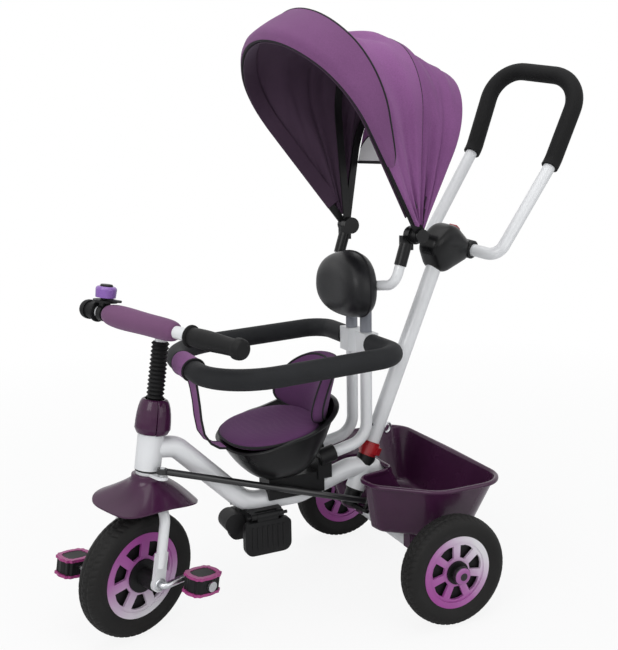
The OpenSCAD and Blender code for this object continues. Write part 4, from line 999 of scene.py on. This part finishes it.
def band_place(u, v):
    a, b, part = along(STRAP_LINE, v)
    half_a, half_b, _ = along(STRAP_HALF, v)
    half = half_a + (half_b - half_a) * part
    curl = 3.5 * (2 * u - 1) ** 2 * math.sin(math.pi * v)
    y = a[0] + (b[0] - a[0]) * part - curl
    return mm(((2 * u - 1) * half, y, a[1] + (b[1] - a[1]) * part))


for label, place, rows in (("strap_wrap", wrap_place, 48), ("strap_band", band_place, 60)):
    hang_sheet(label, (12, rows), place, 0.0026, purple_sheet, "frame",
               ["rail_foam"], ("crotch_strap",))
    for side, u in (("left", 1.0), ("right", 0.0)):
        line = [place(u, i / 60) for i in range(61)]
        dress(tube(line, 0.0021, sides=3), label + "_edge_" + side, black_tape, "frame")
print("strap in two lengths with bound edges")

# %% Handle foam
HANDLE_AXIS = (71, 396)
low, knee, top = Vector((84, *HANDLE_AXIS)), Vector((92, 135, 614)), Vector((99, 129, 785))
foam_foot = low + (knee - low) * 0.94
handle_route = bent_route(mirrored([foam_foot, knee, top]), [60, 62, 62, 60])
handle = tube([on_column(p) for p in handle_route], 0.0173, sides=8)
dress(handle, "handle_foam_sleeve", grip_foam, "upper_handle", ("handle_foam",))
loop_route = bent_route(mirrored([(3, *HANDLE_AXIS), low, knee, top]), [26, 60, 62, 62, 60, 26])
loop = tube([on_column(p) for p in loop_route], 0.0120, sides=8)
dress(loop, "handle_loop_tube", white_paint, "upper_handle", ("handle_loop",))
print("handle foam", len(handle_route), "stations, white tube", len(loop_route))

# %% [markdown]
# ### Bar pad and head rest
# Both are stuffed. The bar pad is a sleeve that swells a little along its length and is drawn in at its
# ends. The head rest is an egg-like block, crowned towards the child, that closes round the tubes behind
# it.

# %% Bar pad
PAD_START, PAD_LONG, PAD_ROUND = -142, 188, 20.5


def pad_place(turn, up):
    share = 0.5 + 0.5 * signed_power(math.sin(up), 0.62)
    swell = 1 + 0.05 * math.sin(math.pi * share * 2.0 + 0.6)
    reach = PAD_ROUND * ring_share(up, 0.3) * swell
    x = PAD_START + PAD_LONG * share
    return steered((x, BAR_Y + reach * math.cos(turn), BAR_Z + reach * math.sin(turn)))


bar_pad = ball(48, 48, pad_place)
dress(bar_pad, "bar_pad_sleeve", bar_cloth, "fork", ("bar_pad",))
print("bar pad")

# %% Head rest
REST_Y, REST_Z = -84, 594
REST_HALF_X, REST_HALF_Z = 86, 60
REST_CROWN, REST_BACK = 40, 28


def rest_place(turn, up):
    x, z = oval(1, 1, 2.3, turn)
    ring = ring_share(up, 0.5)
    width = REST_HALF_X - 6 * z * ring
    deep = signed_power(math.sin(up), 0.8)
    y = REST_Y + (REST_CROWN * deep if deep < 0 else REST_BACK * deep)
    x = width * x * ring
    return mm((x, y - 0.0012 * x * x, REST_Z + REST_HALF_Z * z * ring))


head_rest = ball(72, 40, rest_place)
dress(head_rest, "head_rest_cushion", black_vinyl, "hood_support", ("head_rest",))
piping("head_rest_piping", lambda turn: rest_place(turn, 0.12), 100, 0.0019, "hood_support")
print("head rest with piping")

# %% [markdown]
# ### Moulded shells
# The basket, the seat bucket and the fender are thin mouldings with rounded walls. In the CAD model they
# are made of small flat facets. Here each one is a grid wrapped into a ring, row by row, by nearly the
# same rule and with far more rows, so it shades as a smooth moulding. The rule for a row says how far out
# it lies and how high.

# %% Basket
BASKET_MID, BASKET_REAR = 34, 132
FLOOR_UNDER, FLOOR_TOP = 130, 133


def rim_outline(notch_y, notch_r):
    half = [(46, notch_y, notch_r), (62, -104, 24), (114, -98, 36), (196, -12, 64), (196, BASKET_REAR, 56)]
    corners = [(-x, y, r) for x, y, r in reversed(half)] + half
    points = [(0, BASKET_REAR, 0)] + [(x, y, 0) for x, y, _ in corners] + [(0, BASKET_REAR, 0)]
    arcs = bent_route(points, [r for _, _, r in corners], steps=20, spacing=1000)
    line = []
    for i, (start, end) in enumerate(zip(arcs, arcs[1:])):
        pieces = 6 if i % 21 == 0 else 1
        line += [start.lerp(end, k / pieces) for k in range(pieces)]
    return line + [line[0]]


rim_low, rim_high = rim_outline(22, 22), rim_outline(-20, 20)
AROUND = len(rim_high) - 1
wall_rows = [(v, 136 + 100 * v) for v in (0, 0.06, 0.12, 0.3, 0.5, 0.7, 0.88, 1)]
rim_roll = [(6.6, 234.6), (8.3, 235.6), (9, 238), (8.4, 240.6), (6.4, 242), (3.6, 242.4), (1, 241.6),
            (-0.8, 239.6), (-2.2, 237)]
basket_rows = [(0.02, 0.02, 0, FLOOR_UNDER), (0.3, 0.32, 0, FLOOR_UNDER), (0.62, 0.67, 0, FLOOR_UNDER),
               (0.70, 0.755, 0, FLOOR_UNDER + 1.6)]
basket_rows += [(0.74 + 0.26 * v, 0.8 + 0.2 * v, 0, z) for v, z in wall_rows]
basket_rows += [(1, 1, grow, z) for grow, z in rim_roll]
inner_rows = [(v, z + 1.5 + 2.5 * (1 - v)) for v, z in reversed(wall_rows)]
basket_rows += [(0.74 + 0.26 * v, 0.8 + 0.2 * v, -3, z) for v, z in inner_rows]
basket_rows += [(0.70, 0.755, -3, FLOOR_TOP + 1.6), (0.62, 0.67, -3, FLOOR_TOP), (0.3, 0.32, 0, FLOOR_TOP),
                (0.02, 0.02, 0, FLOOR_TOP), (0.02, 0.02, 0, FLOOR_UNDER)]


def basket_place(u, row):
    share_x, share_y, grow, z = basket_rows[row]
    station = round(u * AROUND)
    spot = rim_low[station].lerp(rim_high[station], clamp((z - 150) / 80))
    out = Vector((spot.x, spot.y - BASKET_MID)).normalized()
    y = BASKET_MID + (spot.y - BASKET_MID) * share_y + grow * out.y
    return mm((spot.x * share_x + grow * out.x, y, z))


basket = wrap_grid(AROUND, len(basket_rows) - 1, basket_place)
for x in (97, -97):
    bpy.ops.mesh.primitive_cube_add(size=1, location=mm((x, 0, 113.3)), scale=(0.022, 0.042, 0.0326))
    bpy.ops.object.transform_apply(location=True, rotation=True, scale=True)
    join_to(basket, bpy.context.object)
dress(basket, "basket_moulding", purple_gloss, "frame", ("basket",))
print("basket", len(basket.data.polygons), "faces")

# %% Seat bucket
SHELL_WALL = 3.5
SHELL_MID_Y, SHELL_LOW_Z = -240, 250
SHELL_STEPS = (0, 0.02, 0.06, 0.12, 0.2, 0.3, 0.42, 0.55, 0.68, 0.8, 0.9, 0.97, 1)
shell_rows = [(v, 0, 0) for v in SHELL_STEPS]
shell_rows += [(1, -2.8, -2.6), (1, -4.6, -3.2), (1, -5.4, -1.8), (1, -4.8, -0.2), (1, -3, 0.6)]
shell_rows += [(v, SHELL_WALL, 0.3) for v in reversed(SHELL_STEPS)]


def shell_place(u, row):
    v, inset, lift = shell_rows[row]
    turn = 2 * math.pi * u
    grow = v ** 0.5
    x, y = oval(12 + 94 * grow - inset, 12 + 90 * grow - inset, 2.6, turn)
    rim_z = 322 + 70 * ((1 + math.sin(turn)) / 2) ** 1.4
    z = SHELL_LOW_Z + (rim_z - SHELL_LOW_Z) * v ** 1.25 + inset * (1 - v)
    return mm((x, SHELL_MID_Y + y, z + lift))


seat_shell = wrap_grid(144, len(shell_rows) - 1, shell_place)
close_holes(seat_shell)
dress(seat_shell, "seat_shell_moulding", gloss_black, "frame", ("seat_shell",))
print("seat bucket", len(seat_shell.data.polygons), "faces")

# %% Fender
FENDER_TOP, FENDER_NECK, FENDER_WALL = 180.7, 27, 2.5
SKIRT_STEPS = (0.0, 0.03, 0.07, 0.12, 0.2, 0.28, 0.37, 0.46, 0.55, 0.64, 0.73, 0.82, 0.91, 0.97, 1.0)
fender_rows = [("neck", 15, 0), ("neck", 21, 0), ("neck", 25, 0), ("neck", 26.5, 0.7), ("neck", 27, 2)]
fender_rows += [("skirt", v, 0) for v in SKIRT_STEPS]
fender_rows += [("skirt", v, FENDER_WALL) for v in reversed(SKIRT_STEPS)]
fender_rows += [("neck", 24.5, 4.5), ("neck", 24.5, FENDER_WALL), ("neck", 15, FENDER_WALL),
                ("neck", 15, 0)]


def fender_place(u, row):
    kind, amount, drop = fender_rows[row]
    turn = 2 * math.pi * u
    rear = math.sin(turn) >= 0
    ex, ey = oval(74, 105 if rear else 80, 2.1 if rear else 3.4, turn)
    far_off = math.hypot(ex, ey)
    if kind == "neck":
        return steered((ex / far_off * amount, ey / far_off * amount, FENDER_TOP - drop))
    reach = FENDER_NECK + (far_off - FENDER_NECK) * amount
    edge_z = FENDER_TOP - 40 - 14 * abs(math.sin(turn)) ** 1.5
    slope = 0.55 + 0.9 * ((1 + math.sin(turn)) / 2) ** 1.5
    z = edge_z + (FENDER_TOP - 7 - edge_z) * (1 - amount ** slope)
    return steered((ex / far_off * reach, ey / far_off * reach, z - drop))


fender = wrap_grid(160, len(fender_rows) - 1, fender_place)
dress(fender, "fender_moulding", purple_gloss, "fork", ("fender",))
print("fender", len(fender.data.polygons), "faces")

# %% [markdown]
# The cover on the head tube keeps its CAD shape. A merged copy shades smoothly over the small facets and
# stays sharp at the real edges. The handle's joint box is a pebble-like moulding: an outline that shrinks
# towards both sides, with a boss round the handle's axis. Two Boolean cuts leave room for the red button
# and for the handle's tube.

# %% Head cover and joint box
smooth_copy("head_cover", "head_cover_moulding", purple_gloss, "frame")

BOX_HALF = 27.4
BOX_ROWS = 36
box_corners = [(108, 400, 22), (-14, 428, 44), (-60, 366, 28), (4, 322, 34)]
box_points = [(0, 56, 361)] + [(0, y, z) for y, z, _ in box_corners] + [(0, 56, 361)]
box_line = bent_route(box_points, [r for _, _, r in box_corners], steps=16, spacing=5)
box_line[-1] = box_line[0]
box_middle = Vector((0, 8, 384))
box_sides = [math.sin(math.radians(-90 + 180 * i / BOX_ROWS)) for i in range(BOX_ROWS + 1)]


def box_place(u, row):
    side = box_sides[row]
    share = max(0.02, (1 - abs(side) ** 4) ** 0.25)
    spot = box_middle + (box_line[round(u * (len(box_line) - 1))] - box_middle) * share
    return on_column((BOX_HALF * side, spot.y, spot.z))


def on_handle_axis(point):
    return on_column((point[0], HANDLE_AXIS[0] + point[1], HANDLE_AXIS[1] + point[2]))


def turned(around, rows, centre):
    def place(u, row):
        x, reach = rows[row]
        turn = 2 * math.pi * u
        return centre((x, reach * math.cos(turn), reach * math.sin(turn)))
    return wrap_grid(around, len(rows) - 1, place)


def cut(obj, cutter):
    modify(obj, "BOOLEAN", operation="DIFFERENCE", object=cutter, solver="EXACT", use_self=True)
    only(cutter)
    bpy.ops.object.delete()


boss_rows = [(-28, 0.2), (-28, 15.5), (-27.4, 17.4), (-26, 18.2), (26, 18.2), (27.4, 17.4), (28, 15.5),
             (28, 0.2)]
bore_rows = [(-40, 0.2), (-40, 12.4), (40, 12.4), (40, 0.2)]
joint_box = wrap_grid(len(box_line) - 1, BOX_ROWS, box_place)
boss = turned(64, boss_rows, on_handle_axis)
close_holes(joint_box)
close_holes(boss)
join_to(joint_box, boss)
bore = turned(48, bore_rows, on_handle_axis)
close_holes(bore)
cut(joint_box, bore)
bpy.ops.mesh.primitive_cube_add(size=1)
button_room = bpy.context.object
for vertex in button_room.data.vertices:
    vertex.co = on_column((16 * vertex.co.x, 22 + 24 * vertex.co.y, 427 + 62 * vertex.co.z))
cut(joint_box, button_room)
tidy(joint_box)
dress(joint_box, "joint_box_moulding", gloss_black, "push_column", ("joint_box",))
print("joint box", len(joint_box.data.polygons), "faces")

# %% [markdown]
# ### Tyres
# A tyre is a ring with a full, rounded profile. The fine tread is pressed into the crown: two grooves run
# all the way round, and short slanted grooves cut the ribs between them into small blocks. Each tyre is
# the same grid with its own size and centre.

# %% Tyres
TYRE_ROUND, TYRE_ROWS, BLOCKS = 432, 46, 54
GROOVE_AT, TREAD_DEEP = 0.30, 1.7


def tyre_place(outer, rim, width, centre):
    middle = rim + 0.45 * (outer - 4 - rim)

    def place(u, row):
        turn = 2 * math.pi * u
        if row == 0 or row >= TYRE_ROWS - 1:
            side = -0.35 if row != TYRE_ROWS - 1 else 0.35
            return centre((side * width, rim * math.cos(turn), rim * math.sin(turn)))
        t = math.radians(-90 + 180 * (row - 1) / (TYRE_ROWS - 3))
        x = width / 2 * signed_power(math.sin(t), 0.9)
        reach = middle + (outer - middle) * max(0.0, math.cos(t)) ** 0.62
        share = abs(x) / (width / 2)
        band = math.exp(-((share - GROOVE_AT) / 0.07) ** 2)
        slant = BLOCKS * u + 0.9 * share + (0.5 if x > 0 else 0.0) + (0.5 if share > GROOVE_AT else 0.0)
        cross = max(0.0, math.cos(2 * math.pi * slant) - 0.45) / 0.55
        worn = clamp((0.86 - share) / 0.12)
        reach -= TREAD_DEEP * worn * max(band, cross)
        return centre((x, reach * math.cos(turn), reach * math.sin(turn)))
    return place


def rear_centre(x_side):
    return lambda p: mm((x_side + p[0], p[1], REAR_WHEEL_Z + p[2]))


FRONT_TYRE, REAR_TYRE = (114, 78, 50), (101, 67, 46)
for name, sizes, centre, body in (
        ("front_tyre", FRONT_TYRE, steered, "front_wheel"),
        ("rear_tyre_left", REAR_TYRE, rear_centre(REAR_WHEEL_X), "rear_wheel_left"),
        ("rear_tyre_right", REAR_TYRE, rear_centre(-REAR_WHEEL_X), "rear_wheel_right")):
    made = wrap_grid(TYRE_ROUND, TYRE_ROWS, tyre_place(*sizes, centre))
    dress(made, name + "_rubber", tyre_rubber, body, (name,))
print("three tyres", len(made.data.polygons), "faces each")

# %% [markdown]
# ### Hub caps and fork washers
# Each rear wheel carries a shallow cap over its axle nut: black outside, a pink ring and a dark middle.
# The colours change with the distance from the axle. A bright washer closes each fork end, with the crank
# coming out through it.

# %% Hub caps and fork washers
CAP_REACH = 0.02
CAP_COLOURS = [(0.0, (0.012, 0.010, 0.013)), (0.34, (0.014, 0.011, 0.015)), (0.37, (0.33, 0.10, 0.31)),
               (0.74, (0.38, 0.13, 0.36)), (0.78, (0.012, 0.012, 0.013)), (1.0, (0.010, 0.010, 0.011))]


def cap_finish(name, centre):
    material, tree, shader, place = start_finish(name)
    _, across, up = own_centre(tree, place, centre)
    squares = [combine(tree, "POWER", combine(tree, "ABSOLUTE", way, 0.0), 2.0) for way in (across, up)]
    reach = combine(tree, "SQRT", combine(tree, "ADD", *squares), 0.0)
    ragged = spread(tree, speckle(tree, place.outputs["Object"], 160.0), -0.0002, 0.0002)
    rings = spread(tree, combine(tree, "ADD", reach, ragged), 0.0, 1.0, 0.0, CAP_REACH)
    dull = spread(tree, speckle(tree, place.outputs["Object"], 90.0), 0.3, 0.42)
    set_inputs(shader, Base_Color=shade(tree, rings, CAP_COLOURS), Roughness=dull, Specular_IOR_Level=0.4)
    return material


cap_rows = [(26.0, 12.4), (26.0, 16.4), (29.0, 16.6), (32.2, 16.2), (34.2, 14.8), (35.6, 12), (36.4, 7),
            (36.6, 0.1), (35.9, 0.1), (35.8, 5.8), (34.6, 10.0), (32.4, 12.0), (26.0, 12.4)]
washer_rows = [(62.2, 9.6), (62.2, 11.6), (64.2, 11.6), (65.0, 10.8), (65.0, 9.6), (62.2, 9.6)]
for side, sign, wheel in (("left", 1, left_wheel), ("right", -1, right_wheel)):
    rows = [(sign * x, reach) for x, reach in cap_rows]
    cap = turned(72, rows, rear_centre(REAR_WHEEL_X * sign))
    finish = cap_finish("hub_cap_" + side + "_rings", wheel)
    dress(cap, "hub_cap_" + side, finish, "rear_wheel_" + side)
    rows = [(sign * x, reach) for x, reach in washer_rows]
    washer = turned(48, rows, steered)
    dress(washer, "fork_washer_" + side, bright_steel, "fork")
print("two hub caps and two fork washers")
